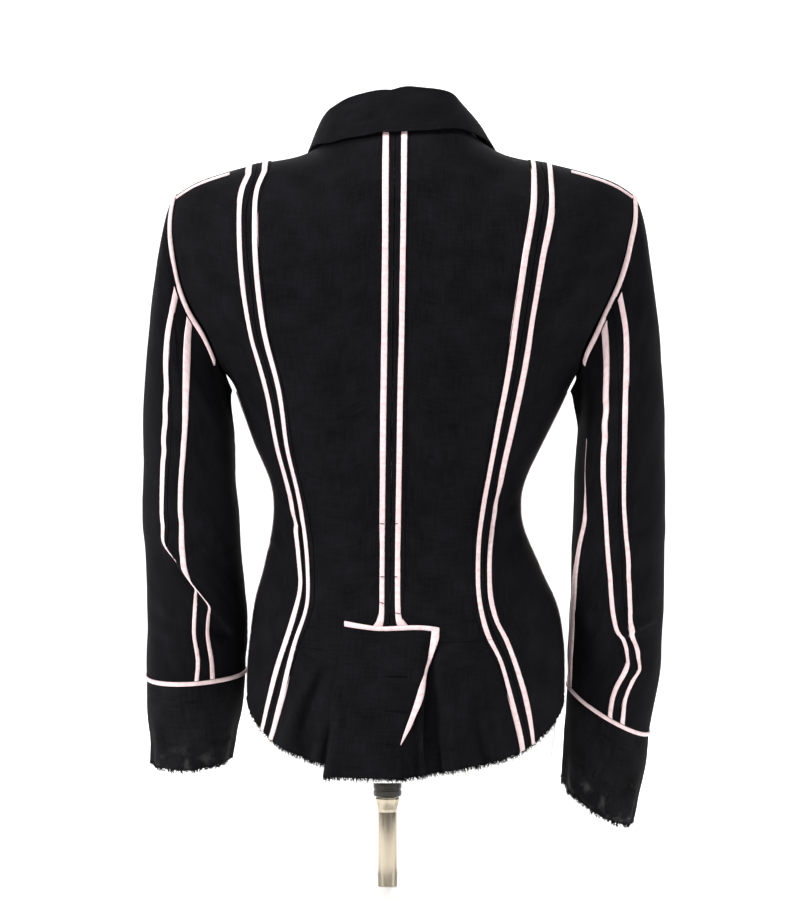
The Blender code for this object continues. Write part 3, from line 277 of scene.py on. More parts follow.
@dataclass
class BodySurface(Surface):
    """The body of the jacket: u is a turn in degrees (0 centre back, 90 right, 180 front), v a level."""

    roll_start: float = 540 * MM
    roll_span: float = 115 * MM
    shoulder_z: float = 629 * MM
    underarm_z: float = 455 * MM
    hem_level: float = 105 * MM
    hem_fade: float = 250 * MM
    power: float = 2.3
    roll_end: float = 1.99
    ridge_y: float = 5 * MM
    neck_half: float = 70 * MM
    neck_z: float = 566 * MM
    neck_roll: float = 66.0
    seam_past_ridge: float = 6.0
    sleeve_step: float = 10 * MM
    sleeve_fade: float = 70 * MM
    front_scoop: float = 11 * MM
    scoop_fade: float = 9 * MM
    back_to: float = 40 * MM
    calm_top: float = 690 * MM
    calm_span: float = 60 * MM
    # z, left, right, back, front
    sections: tuple = (
        (100, -122, 152, 128, 102), (145, -125, 156, 127, 103), (190, -126.5, 158.5, 122, 103),
        (235, -123, 157, 109, 100), (262, -119, 152, 99, 97), (295, -110.5, 137, 83, 91),
        (330, -103, 122, 71, 86), (355, -101.5, 120, 67, 84), (373, -105, 124, 69, 87),
        (404, -118, 137.5, 78, 98), (438, -131, 154.5, 89, 112), (462, -141, 166, 95, 118),
        (485, -160, 180, 100, 119), (507, -172, 193, 103, 117), (540, -192, 211, 105, 111),
    )
    # z, left, right
    armhole: tuple = (
        (455, -137, 168), (470, -146, 171), (485, -151.5, 172.5), (507, -162, 183), (525, -173.5, 191.5),
        (548, -183, 202.5), (571, -188, 210.5), (590, -191, 215), (606, -191.5, 218.5), (629, -189, 219.5),
    )
    # distance from the middle, z
    ridge: tuple = (
        (0, 713), (20, 711), (45, 699), (70, 677), (90, 666), (135, 657),
        (165, 649), (190, 640), (207, 629), (235, 606),
    )
    # turn, z
    hem: tuple = (
        (0, 115), (15, 122), (32, 129), (50, 141), (61, 152), (70, 162), (90, 180), (120, 190), (180, 188),
    )
    # z, x
    centre_seam: tuple = ((105, 0.5), (269, 2.5), (681, 7.1), (742, 7.8))
    princess_left: tuple = (
        (100, -118), (147, -107), (201, -94), (226, -86.5), (250, -78), (269, -73.7),
        (299, -74.2), (324, -76.2), (349, -80.5), (402, -92.4), (454, -100.5),
        (506, -114.7), (536, -118.1), (581, -123.5), (605, -124.2), (655, -115),
    )
    princess_right: tuple = (
        (100, 133), (145, 123.4), (182, 115.2), (214, 105.5), (232, 96.8), (250, 89.2),
        (275, 86), (294, 85.7), (320, 86.7), (349, 90.8), (402, 100.3), (451, 109.2),
        (500, 118.2), (547, 125.7), (593, 133.4), (637, 140.3), (655, 137.3),
    )
    # x, z
    peplum_seam: tuple = ((-110, 222), (-75, 222), (-40, 221), (0, 236), (42, 230), (90, 231), (130, 231))
    # top x, top z, foot x, foot z, width, depth
    folds: tuple = (
        (-50, 226, -80, 100, 9, -7), (-66, 215, -99, 100, 9, 4), (-36, 215, -58, 100, 8, 5),
        (-44, 185, -57, 100, 6, -7), (0, 215, -8, 100, 20, 5), (42, 222, 43, 100, 9, -11),
        (24, 190, 20, 100, 6, -4), (56, 212, 66, 100, 8, 6), (70, 205, 88, 100, 8, -6),
        (84, 200, 106, 100, 9, 4), (-100, 200, -118, 100, 9, -4), (118, 205, 138, 100, 10, -4),
    )
    creases: tuple[Crease, ...] = ()

    def __post_init__(self) -> None:
        """Makes the curves of every table."""
        self.width = {"left": TableCurve(self.sections, 1), "right": TableCurve(self.sections, 2)}
        self.depth = {Face.BACK: TableCurve(self.sections, 3), Face.FRONT: TableCurve(self.sections, 4)}
        self.armhole_x = {"left": TableCurve(self.armhole, 1), "right": TableCurve(self.armhole, 2)}
        self.ridge_z = TableCurve(self.ridge, 1)
        self.hem_z = TableCurve(self.hem, 1, unit_in=1.0)
        self.seam_x = {"centre": TableCurve(self.centre_seam, 1), "left": TableCurve(self.princess_left, 1),
                       "right": TableCurve(self.princess_right, 1)}
        self.peplum_z = TableCurve(self.peplum_seam, 1)
        self.noise = ((SmoothNoise(5, 46 * MM), 0.7 * MM), (SmoothNoise(9, 17 * MM), 0.22 * MM))
        self.back_top = self.roll_start + self.roll_span * (90 + self.seam_past_ridge) / 90 - 2 * SEAM_HALF
        self.front_top = self.roll_start + self.roll_span * (90 - self.seam_past_ridge) / 90 - 2 * SEAM_HALF

    def half_widths(self, z: Array) -> tuple[Array, Array]:
        """Returns the section's middle and half width; above the underarm it overhangs the armhole."""
        share = smooth_step((z - self.roll_start) / self.sleeve_fade + 1)
        left = self.width["left"](z) * (1 - share) + (self.armhole_x["left"](z) - self.sleeve_step) * share
        right = self.width["right"](z) * (1 - share) + (self.armhole_x["right"](z) + self.sleeve_step) * share
        return 0.5 * (left + right), 0.5 * (right - left)

    def rounded(self, value: Array) -> Array:
        """Returns a sine or a cosine without its sign, to the power that rounds the sections."""
        return np.abs(value) ** (2 / self.power)

    def turn_for_share(self, share: Array) -> Array:
        """Returns the turn, from 0 to 90 degrees, at a share of the half width."""
        return np.degrees(np.arcsin(np.clip(np.abs(share), 0, 1) ** (self.power / 2)))

    def roll_angle(self, level: Array) -> Array:
        """Returns the roll over the shoulder, in radians: a right angle at the ridge."""
        return np.clip((level - self.roll_start) / self.roll_span, 0.0, self.roll_end) * (math.pi / 2)

    def arm_height(self, rise: Array) -> Array:
        """Returns the height in the armhole's table that a share of the roll's rise stands for."""
        return self.roll_start + (self.shoulder_z - self.roll_start) * rise

    def hem_at(self, turn: Array) -> Array:
        """Returns the hem's height at a turn, which is the same on both sides."""
        return self.hem_z(np.abs(np.mod(turn + 180, 360) - 180))

    def fold_relief(self, x: Array, z: Array) -> Array:
        """Returns the pleats of the lower back: bells round slanted lines that widen downwards."""
        relief = np.zeros(np.broadcast(x, z).shape)
        for row in self.folds:
            top_x, top_z, foot_x, foot_z, width, depth = (value * MM for value in row)
            down = np.clip((top_z - z) / (top_z - foot_z), 0.0, 1.0)
            middle = top_x + (foot_x - top_x) * down
            spread = width * (0.55 + 0.6 * down)
            relief = relief + depth * smooth_step(down * 1.25) * np.exp(-((x - middle) / spread) ** 2)
        return relief

    def base(self, turn: Array, level: Array, inset: float | Array = 0.0, top_inset: float | Array = 0.0,
             folded: float = 1.0) -> Array:
        """Returns points of the smooth body: rounded sections that roll over the shoulder ridge.

        Across, a section goes with the sine of the turn to a power and front to back with the
        cosine. Above roll_start, height and depth go with the sine and cosine of the roll.

        Args:
            turn: degrees round the body.
            level: height, or the way along the roll above roll_start.
            inset: how far inside the surface.
            top_inset: how far below the ridge.
            folded: the share of the pleats.

        Returns:
            Points, with a last axis of three.
        """
        turn, level = np.broadcast_arrays(np.asarray(turn, float), np.asarray(level, float))
        angle = np.radians(turn)
        across = np.sign(np.sin(angle)) * self.rounded(np.sin(angle))
        along = self.rounded(np.cos(angle))
        on_back = np.cos(angle) > 0
        drop = np.clip((self.hem_fade - level) / (self.hem_fade - self.hem_level), 0.0, 1.15)
        z_low = self.hem_fade + (self.hem_at(turn) - self.hem_fade) * drop
        z_low = np.where(level < self.hem_fade, z_low, np.minimum(level, self.roll_start))
        middle, half = self.half_widths(z_low)
        x_low = middle + (half - inset) * across
        depth = np.where(on_back, inset - self.depth[Face.BACK](z_low), self.depth[Face.FRONT](z_low) - inset)
        relief = np.where(on_back, self.fold_relief(x_low, z_low), 0.0)
        relief = relief * smooth_step(2.2 * np.abs(np.cos(angle)))
        y_low = depth * along - relief * folded

        roll = self.roll_angle(level)
        rise = self.rounded(np.sin(roll))
        reach = self.rounded(np.cos(roll))
        middle_up, half_up = self.half_widths(self.arm_height(rise))
        x_up = middle_up + (half_up - inset) * across
        ridge = self.ridge_z(np.abs(x_up - middle_up)) - top_inset
        z_up = self.roll_start + (ridge - self.roll_start) * rise
        behind = on_back & (roll <= math.pi / 2)
        start = np.where(behind, inset - self.depth[Face.BACK](self.roll_start),
                         self.depth[Face.FRONT](self.roll_start) - inset) * along
        y_up = self.ridge_y + (start - self.ridge_y) * reach
        upper = level > self.roll_start
        return np.stack([np.where(upper, x_up, x_low), np.where(upper, y_up, y_low),
                         np.where(upper, z_up, z_low)], axis=-1)

    def normal(self, turn: Array, level: Array) -> Array:
        """Returns the outward direction: the cross product of steps round and up."""
        around = self.base(turn + self.u_step, level) - self.base(turn - self.u_step, level)
        upward = self.base(turn, level + self.v_step) - self.base(turn, level - self.v_step)
        return unit(np.cross(around, upward))

    def relief(self, points: Array) -> Array:
        """Returns the height of creases and gentle waves at points of the smooth body."""
        x, y, z = points[..., 0], points[..., 1], points[..., 2]
        behind = smooth_step(0.5 - y / self.back_to)
        calm = smooth_step((self.calm_top - z) / self.calm_span)
        total = sum(size * noise(points) for noise, size in self.noise) * calm
        for crease in self.creases:
            total = total + crease.height(x, z) * (behind if crease.face is Face.BACK else 1 - behind)
        return total

    def place(self, u: Array, v: Array, lift: Array | float = 0.0) -> Array:
        """Returns points on the creased cloth, lifted square to the smooth body."""
        points = self.base(u, v)
        height = self.relief(points) + lift
        return points + self.normal(u, v) * height[..., None]

    def turn_for_x(self, x: Callable[[Array], Array] | float, level: Array, front: bool = False) -> Array:
        """Returns the turn where the surface has an x, by a few rounds of correction.

        Args:
            x: the wanted x, or its function of the height.
            level: the levels.
            front: whether the place is on the front.

        Returns:
            Turns in degrees.
        """
        level = np.asarray(level, float)
        turn = np.full(level.shape, 150.0 if front else 10.0)
        for _ in range(5):
            z = self.base(turn, level)[..., 2]
            z_arm = self.arm_height(self.rounded(np.sin(self.roll_angle(level))))
            middle, half = self.half_widths(np.where(level > self.roll_start, z_arm, z))
            share = ((x(z) if callable(x) else x) - middle) / half
            turn = self.turn_for_share(share)
            turn = np.sign(share) * ((180.0 - turn) if front else turn)
        return turn

    def armhole_turn(self, side: str, level: Array, front: bool = False) -> Array:
        """Returns the turn of the armhole's edge, which meets the side seam at the underarm."""
        sign = SIDES[side]

        def edge_x(z: Array) -> Array:
            """Returns the armhole's x, cut further in on the front."""
            share = np.clip((z - self.underarm_z) / (self.shoulder_z - self.underarm_z), 0, 1)
            return self.armhole_x[side](z) - sign * self.front_scoop * np.sin(math.pi * share) * front

        level = np.asarray(level, float)
        turn = np.abs(self.turn_for_x(edge_x, level, front))
        fade = np.exp(-np.clip(level - self.underarm_z, 0, None) / self.scoop_fade)
        turn = turn + (90.0 - turn) * fade
        return sign * np.where(level <= self.underarm_z, 90.0, turn)

    def neck_level(self, turn: Array, level: Array) -> Array:
        """Returns the level of the back's top edge: the shoulder seam, dipping round the neck."""
        low = self.roll_start + self.roll_span * self.neck_roll / 90.0
        x = self.base(turn, level)[..., 0]
        middle = self.half_widths(np.full(np.shape(x), self.neck_z))[0]
        inward = np.sqrt(np.clip(1 - ((x - middle) / self.neck_half) ** 2, 0.0, 1.0))
        return self.back_top - (self.back_top - low) * inward

    def level_for_height(self, z: Array, apart: Array) -> Array:
        """Returns the level at which the surface reaches a height, at a distance from the middle."""
        share = np.clip((z - self.roll_start) / (self.ridge_z(apart) - self.roll_start), 0.0, 1.0)
        roll = np.arcsin(share ** (self.power / 2))
        return np.where(z > self.roll_start, self.roll_start + self.roll_span * roll / (math.pi / 2), z)

    def low_level(self, turn: Array, z: Array) -> Array:
        """Returns the level at which the flared lower back reaches a height, or the height above it."""
        share = (self.hem_fade - z) / (self.hem_fade - self.hem_at(turn))
        return np.where(z < self.hem_fade, self.hem_fade - share * (self.hem_fade - self.hem_level), z)

    def turn_at(self, x: Array, z: Array) -> tuple[Array, Array]:
        """Returns the turn and the level at which the back has an x and a height below the roll."""
        level = np.asarray(z, float)
        for _ in range(3):
            turn = self.turn_for_x(x, level)
            level = self.low_level(turn, z)
        return turn, level

    def below_ridge(self, turn: Array, top: float, drop: float) -> Array:
        """Returns the levels that lie a drop lower than the shoulder's ridge."""
        steps = top - np.linspace(0, 60 * MM, 400)
        z = self.base(turn[:, None], steps[None] + 0 * turn[:, None])[..., 2]
        return steps[np.argmin(np.abs(z - z[:, :1] + drop), axis=1)]

    def levels(self, foot: float, top: float, step: float = 3 * MM) -> Array:
        """Returns evenly spaced levels from foot to top."""
        return np.linspace(foot, top, max(3, int(round((top - foot) / step)) + 1))

    def levels_over(self, foot: float, top: float) -> Array:
        """Returns levels from foot to top, spaced evenly up to the roll's start and from there on."""
        return np.concatenate([self.levels(foot, self.roll_start), self.levels(self.roll_start, top)[1:]])


# start x, start z, end x, end z, width, depth, bow, in millimetres
BODY_CREASES = (
    (-66, 352, -4, 336, 3.6, -1.7, 4), (-68, 330, -12, 324, 3.2, -1.5, -3),
    (-62, 312, -2, 303, 3.4, -1.8, 4), (-64, 292, -14, 286, 3.0, -1.4, 3),
    (-62, 276, -22, 266, 3.4, -1.3, -4), (-58, 344, -22, 346, 2.4, -0.9, -2),
    (14, 342, 72, 348, 3.4, -1.5, -4), (16, 327, 74, 321, 3.0, -1.4, 3), (12, 309, 70, 299, 3.4, -1.6, 4),
    (18, 287, 70, 278, 3.0, -1.3, -3), (24, 264, 70, 253, 3.4, -1.2, 3), (22, 334, 56, 337, 2.2, -0.8, 2),
    (-94, 352, -74, 328, 3.6, -1.9, 3), (-100, 330, -80, 308, 3.4, -1.7, 3),
    (-112, 320, -90, 290, 4.0, -1.5, -4), (112, 378, 88, 286, 5.0, -2.6, 8),
    (118, 356, 96, 326, 3.6, -1.8, 3), (124, 330, 98, 300, 3.6, -1.4, 3),
    (-84, 226, -44, 220, 2.2, -1.2, 0), (46, 231, 90, 233, 2.2, -1.2, 0),
    (-50, 216, -78, 143, 4.5, -3.2, 3), (-46, 172, -60, 104, 3.6, -3.0, 0),
    (-62, 206, -94, 132, 7, 2.2, 3), (-66, 150, -76, 104, 4, -2.0, 0), (38, 243, 36, 106, 4.0, -6.4, 1),
    (48, 238, 54, 104, 5, 2.6, 2), (62, 222, 70, 108, 4.5, -2.6, 2), (82, 226, 96, 124, 6, 2.0, 2),
    (27, 160, 25, 100, 2.6, -2.6, 0), (45, 150, 47, 100, 2.2, -2.4, 0),
    (-150, 560, -118, 470, 9, -2.4, 10), (176, 560, 140, 470, 9, -2.4, -10),
    (-132, 520, -104, 430, 7, -1.8, 8), (160, 520, 128, 430, 7, -1.8, -8),
    (-146, 500, -116, 420, 6, -1.5, 6), (166, 596, 142, 540, 8, -1.8, -8),
    (-40, 640, -22, 500, 12, 1.8, 4), (70, 640, 50, 500, 12, 1.8, -4), (-90, 610, -70, 500, 11, -1.5, 6),
    (98, 600, 86, 480, 11, -1.5, -6), (-86, 640, -30, 652, 5, -1.4, 5), (30, 652, 92, 640, 5, -1.4, -5),
    (-30, 430, -20, 372, 8, -1.2, 3), (44, 440, 36, 380, 8, -1.2, -3),
)
FRONT_CREASES = (
    (-90, 350, -30, 338, 5, -1.8, 4), (-84, 322, -30, 326, 5, -1.6, -3), (104, 350, 40, 336, 5, -1.8, -4),
    (96, 318, 40, 324, 5, -1.6, 3), (-120, 520, -86, 430, 8, -2.2, 8), (150, 520, 116, 430, 8, -2.2, -8),
    (-96, 300, -40, 290, 5, -1.5, 3), (108, 296, 52, 288, 5, -1.5, -3),
)


class SleeveSurface(Surface):
    """A sleeve: u is degrees round it (0 outer edge, 90 back), v a table row, -1 to 0 the cap."""

    u_step = 0.5
    v_step = 0.02

    def __init__(self, body: BodySurface, side: str, rows: Sequence[Sequence[float]], front_seam: float,
                 creases: Sequence[Crease], overhangs: Sequence[Overhang], seed: int) -> None:
        """Makes the row curves and the armhole's two edges.

        Args:
            body: the surface that the sleeve is set into.
            side: left or right.
            rows: outer x, outer z, inner x, inner z, seam x, middle y, half depth, back drop.
            front_seam: the turn of the hidden front seam.
            creases: soft troughs and ridges.
            overhangs: folds whose upper cloth hangs over.
            seed: the seed of the gentle waves.
        """
        self.side = side
        self.sign = SIDES[side]
        self.last = len(rows) - 1
        self.front_seam = front_seam
        self.creases = creases
        self.overhangs = overhangs
        index = np.arange(len(rows))
        self.row = [TableCurve(rows, k, unit_in=1.0, keys=index) for k in range(8)]
        angles = [[math.degrees(math.acos(1 - 2 * (r[4] - r[0]) / (r[2] - r[0])))] for r in rows]
        self.seam_angle = TableCurve(angles, 0, 1.0, 1.0, index)
        self.noise = ((SmoothNoise(seed, 38 * MM), 1.1 * MM), (SmoothNoise(seed + 1, 15 * MM), 0.35 * MM))
        self.edges = [self.edge_line(body, top, front) for top, front in
                      ((body.back_top, False), (body.front_top, True))]

    def edge_line(self, body: BodySurface, top: float, front: bool) -> tuple[Array, Array, Array]:
        """Returns the armhole's edge from the shoulder down: length shares, points, directions."""
        levels = np.concatenate([np.linspace(body.underarm_z, body.roll_start, 30),
                                 np.linspace(body.roll_start, top, 40)[1:]])[::-1]
        turns = body.armhole_turn(self.side, levels, front)
        points = body.base(turns, levels)
        lengths = lengths_along(points)
        return lengths / lengths[-1], points, body.normal(turns, levels)

    def armhole_ring(self, angle: Array) -> tuple[Array, Array]:
        """Returns points and directions on the armhole; angle 0 is the shoulder, 180 the underarm."""
        angle = np.mod(angle, 360.0)
        share = np.where(angle <= 180.0, angle, 360.0 - angle) / 180.0
        found = [[np.stack([np.interp(share, shares, source[:, axis]) for axis in range(3)], -1)
                  for source in (points, normals)] for shares, points, normals in self.edges]
        on_back = (angle <= 180.0)[..., None]
        return np.where(on_back, found[0][0], found[1][0]), np.where(on_back, found[0][1], found[1][1])

    def table_ring(self, angle: Array, row: Array) -> Array:
        """Returns points of the arm: half an ellipse's sweep between the outer and the inner edge."""
        outer_x, outer_z, inner_x, inner_z, _, middle_y, half_depth, back_drop = (c(row) for c in self.row)
        turn = np.radians(angle)
        across = 0.5 * (1 - np.cos(turn))
        return np.stack([outer_x + (inner_x - outer_x) * across, middle_y - half_depth * np.sin(turn),
                         outer_z + (inner_z - outer_z) * across - back_drop * np.sin(turn)], -1)

    def base(self, angle: Array, row: Array) -> Array:
        """Returns points of the smooth sleeve: the arm's rows, and above them a cap to the armhole.

        The cap is a cubic from the armhole to the first row. It leaves the armhole downwards,
        more steeply under the arm, and arrives in the direction that the arm hangs in.
        """
        angle, row = np.broadcast_arrays(np.asarray(angle, float), np.asarray(row, float))
        arm = self.table_ring(angle, np.maximum(row, 0.0))
        start, _ = self.armhole_ring(angle)
        first = self.table_ring(angle, np.zeros(row.shape))
        second = self.table_ring(angle, np.ones(row.shape))
        share = 0.5 * (1 - np.cos(np.radians(angle)))
        fall = np.radians(12.0 + 42.0 * share ** 1.5)
        way = np.stack([self.sign * np.cos(fall), 0 * fall, -np.sin(fall)], -1)
        leave = way * (52 * MM + (18 - 52) * MM * share)[..., None]
        start = start + way * (0.5 * MM + 2.4 * MM * share ** 2)[..., None]
        arrive = unit(second - first) * (70 * MM * (1 - 0.6 * share))[..., None]
        t = np.clip(row + 1, 0.0, 1.0)[..., None]
        cap = (start + (first - start) * t * t * (3 - 2 * t) + leave * t * (1 - t) ** 2
               - arrive * t * t * (1 - t))
        return np.where((row < 0)[..., None], cap, arm)

    def angle_for_x(self, curve: TableCurve, rows: Array, start: Array) -> Array:
        """Returns the angle where each row has the x that a curve gives at its height.

        Each round moves the angle by the miss over the slope, by eight degrees at most.
        """
        angle = np.array(start, float)
        for _ in range(12):
            point = self.base(angle, rows)
            slope = (self.base(angle + self.u_step, rows)[..., 0] - point[..., 0]) / self.u_step
            miss = curve(point[..., 2]) - point[..., 0]
            slope = np.where(np.abs(slope) < 2e-4, 2e-4 * np.sign(slope + 1e-12), slope)
            angle = angle + np.clip(miss / slope, -8.0, 8.0)
        return angle

    def normal(self, angle: Array, row: Array) -> Array:
        """Returns outward directions, which turn to the body's own right at the armhole."""
        around = self.base(angle + self.u_step, row) - self.base(angle - self.u_step, row)
        low = np.clip(row - self.v_step, -1, self.last)
        high = np.clip(row + self.v_step, -1, self.last)
        normal = unit(np.cross(around, self.base(angle, high) - self.base(angle, low)) * self.sign)
        body_way = self.armhole_ring(np.broadcast_to(angle, normal.shape[:-1]))[1]
        alike = np.sum(normal * body_way, axis=-1)
        share = smooth_step(2 * alike - 0.6) * (1 - smooth_step((row + 1) / 0.10))
        return unit(normal * (1 - share[..., None]) + body_way * share[..., None])

    def place(self, u: Array, v: Array, lift: Array | float = 0.0) -> Array:
        """Returns points on the creased cloth: waves, creases and overhanging folds, then the lift."""
        v = np.broadcast_to(np.asarray(v, float), np.broadcast(u, v).shape)
        points = self.base(u, v)
        normal = self.normal(u, v)
        behind = smooth_step(0.5 - 1.5 * normal[..., 1])
        calm = smooth_step((v + 1) / 0.5)
        height = sum(size * noise(points) for noise, size in self.noise) * calm
        for crease in self.creases:
            height = height + crease.height(points[..., 0], points[..., 2]) * (
                behind if crease.face is Face.BACK else 1 - behind)
        moved = points.copy()
        for fold in self.overhangs:
            dx, dz, out = fold.shift(points[..., 0], points[..., 2])
            weight = smooth_step(-1.6 * normal[..., 1])
            moved[..., 0] += dx * weight
            moved[..., 2] += dz * weight
            height = height + out * weight
        return moved + normal * (height + lift)[..., None]


def grid_faces(rows: int, columns: int, ring: bool) -> Array:
    """Returns the four-cornered faces of a grid of points, as an array of indices."""
    r = np.arange(rows - 1)[:, None]
    c = np.arange(columns if ring else columns - 1)[None, :]
    d = (c + 1) % columns
    return np.stack([r * columns + c, r * columns + d, (r + 1) * columns + d, (r + 1) * columns + c],
                    axis=-1).reshape(-1, 4)


class MeshParts:
    """Points, faces and cloth coordinates gathered for one object."""

    def __init__(self) -> None:
        """Starts with nothing."""
        self.points: list[Array] = []
        self.faces: list[Array] = []
        self.places: list[Array] = []
        self.count = 0

    def add(self, points: Array, faces: Array, places: Array | None = None) -> None:
        """Adds points with their faces and their cloth coordinates."""
        points = points.reshape(-1, 3)
        self.points.append(points)
        self.faces.append(faces + self.count)
        self.places.append(points[:, [0, 2]] if places is None else places.reshape(-1, 2))
        self.count += len(points)

    def add_wall(self, outer: Array, inner: Array, ring: bool = False, places: Array | None = None) -> None:
        """Adds a closed wall between two grids of points, with its faces outwards.

        Args:
            outer: the outer grid, rows by columns by three.
            inner: the inner grid.
            ring: whether the columns close on themselves.
            places: cloth coordinates for each point of a grid.
        """
        rows, columns = outer.shape[:2]
        faces = grid_faces(rows, columns, ring)
        a, b, c = (outer.reshape(-1, 3)[faces[:, k]] for k in range(3))
        out = (outer - inner).reshape(-1, 3)[faces[:, 0]]
        flip = np.sum(np.cross(b - a, c - a) * out) < 0
        shift = rows * columns
        both = [faces, faces[:, ::-1] + shift]
        top = np.arange(columns)
        foot = top + (rows - 1) * columns
        if ring:
            loops = [np.append(top, 0), np.append(foot, foot[0])[::-1]]
        else:
            left = np.arange(rows) * columns
            right = left + columns - 1
            loops = [np.concatenate([top[:-1], right[:-1], foot[:0:-1], left[::-1]])]
        for loop in loops:
            both.append(np.stack([loop[:-1], loop[:-1] + shift, loop[1:] + shift, loop[1:]], -1))
        whole = np.concatenate(both)
        if flip:
            whole = whole[:, ::-1]
        places = cloth_places(outer) if places is None else places
        both_places = np.concatenate([places.reshape(-1, 2)] * 2)
        self.add(np.concatenate([outer.reshape(-1, 3), inner.reshape(-1, 3)]), whole, both_places)

    def build(self, name: str, material: bpy.types.Material, slot: str,
              sharp: float = 50.0) -> bpy.types.Object:
        """Makes the object, smooth with sharp rims, riding on the root body.

        Args:
            name: the piece's name.
            material: its finish.
            slot: the record's material slot; not used.
            sharp: the angle past which an edge is sharp, in degrees.

        Returns:
            The new object.
        """
        points = np.concatenate(self.points)
        corners = np.concatenate([part.reshape(-1) for part in self.faces])
        sizes = np.concatenate([np.full(len(part), part.shape[1]) for part in self.faces])
        mesh = bpy.data.meshes.new(name)
        mesh.vertices.add(len(points))
        mesh.vertices.foreach_set("co", points.ravel())
        mesh.loops.add(len(corners))
        mesh.loops.foreach_set("vertex_index", corners.astype(np.int32))
        mesh.polygons.add(len(sizes))
        mesh.polygons.foreach_set("loop_start", np.append(0, np.cumsum(sizes)[:-1]).astype(np.int32))
        layer = mesh.uv_layers.new(name="cloth")
        layer.data.foreach_set("uv", np.concatenate(self.places)[corners].ravel())
        mesh.update(calc_edges=True)
        mesh.materials.append(material)
        mesh.shade_smooth()
        mesh.set_sharp_from_angle(angle=math.radians(sharp))
        piece = bpy.data.objects.new(name, mesh)
        bpy.context.scene.collection.objects.link(piece)
        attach(piece, "root")
        return piece


def add_allowance(parts: MeshParts, surface: Surface, u: Array, v: Array, sign: float) -> Array:
    """Adds a turned-back seam allowance to a piece, under its binding.

    Args:
        parts: the piece's mesh.
        surface: the surface that it lies on.
        u: the seam's places round the surface.
        v: the seam's places along the surface.
        sign: the side of the seam that it lies on.

    Returns:
        The allowance's outer grid.
    """
    apart = sign * np.linspace(ALLOWANCE_NEAR, ALLOWANCE_REACH, 6)[None, :]
    u = u[:, None] + (surface.shift_u(u, v, 1 * MM) - u)[:, None] * apart / MM
    v = np.broadcast_to(v[:, None], u.shape)
    outer = surface.place(u, v, ALLOWANCE_LIFT + ALLOWANCE_THICK)
    parts.add_wall(outer, surface.place(u, v, ALLOWANCE_UNDER))
    return outer


def cut_of(grid: Array) -> tuple[tuple[float, float], float]:
    """Returns the flat size and area of the cut that a grid of smooth cloth was made from.

    The width is the longest row, the length the longest column, and the area the sum of the cells.
    """
    across = np.linalg.norm(np.diff(grid, axis=1), axis=-1)
    down = np.linalg.norm(np.diff(grid, axis=0), axis=-1)
    cells = np.linalg.norm(np.cross(grid[1:, 1:] - grid[:-1, :-1], grid[1:, :-1] - grid[:-1, 1:]), axis=-1) / 2
    return (float(across.sum(axis=1).max()), float(down.sum(axis=0).max())), float(cells.sum())


class Hold(Enum):
    """How a piece of cloth is held."""

    DRAPED = "draped"
    HUNG = "hung"
    FOLDED = "folded"


@dataclass
class Cut:
    """A piece of cloth with the flat size that it was cut to, and the trims sewn to it."""

    piece: bpy.types.Object
    grids: list[Array]
    held: Hold
    rests_on: list[str]
    trims: list[bpy.types.Object] = field(default_factory=list)

    def declare(self) -> None:
        (width, length), area = cut_of(self.grids[0])
        extra = [cut_of(grid) for grid in self.grids[1:]]
        area += sum(size for _, size in extra)
        width += sum(min(flat) for flat, _ in extra)
        width = max(width, 1.001 * area / length)
        LOG.info("%s: cut %.0f x %.0f mm, %.4f square metres", self.piece.name, width / MM, length / MM, area)


class CutList:
    """The cut of every piece of cloth, logged once all trims are sewn on."""

    def __init__(self) -> None:
        """Starts with nothing."""
        self.cuts: dict[str, Cut] = {}

    def add(self, piece: bpy.types.Object, grids: Sequence[Array], held: Hold, rests_on: Sequence[str]) -> None:
        """Notes a piece of cloth: its smooth grid first, then those of its allowances."""
        self.cuts[piece.name] = Cut(piece, list(grids), held, list(rests_on))

    def trim(self, carrier: str, piece: bpy.types.Object) -> None:
        """Notes a trim that is sewn to a piece of cloth."""
        self.cuts[carrier].trims.append(piece)

    def declare(self) -> None:
        """Logs the flat size and area of every piece of cloth."""
        for cut in self.cuts.values():
            cut.declare()


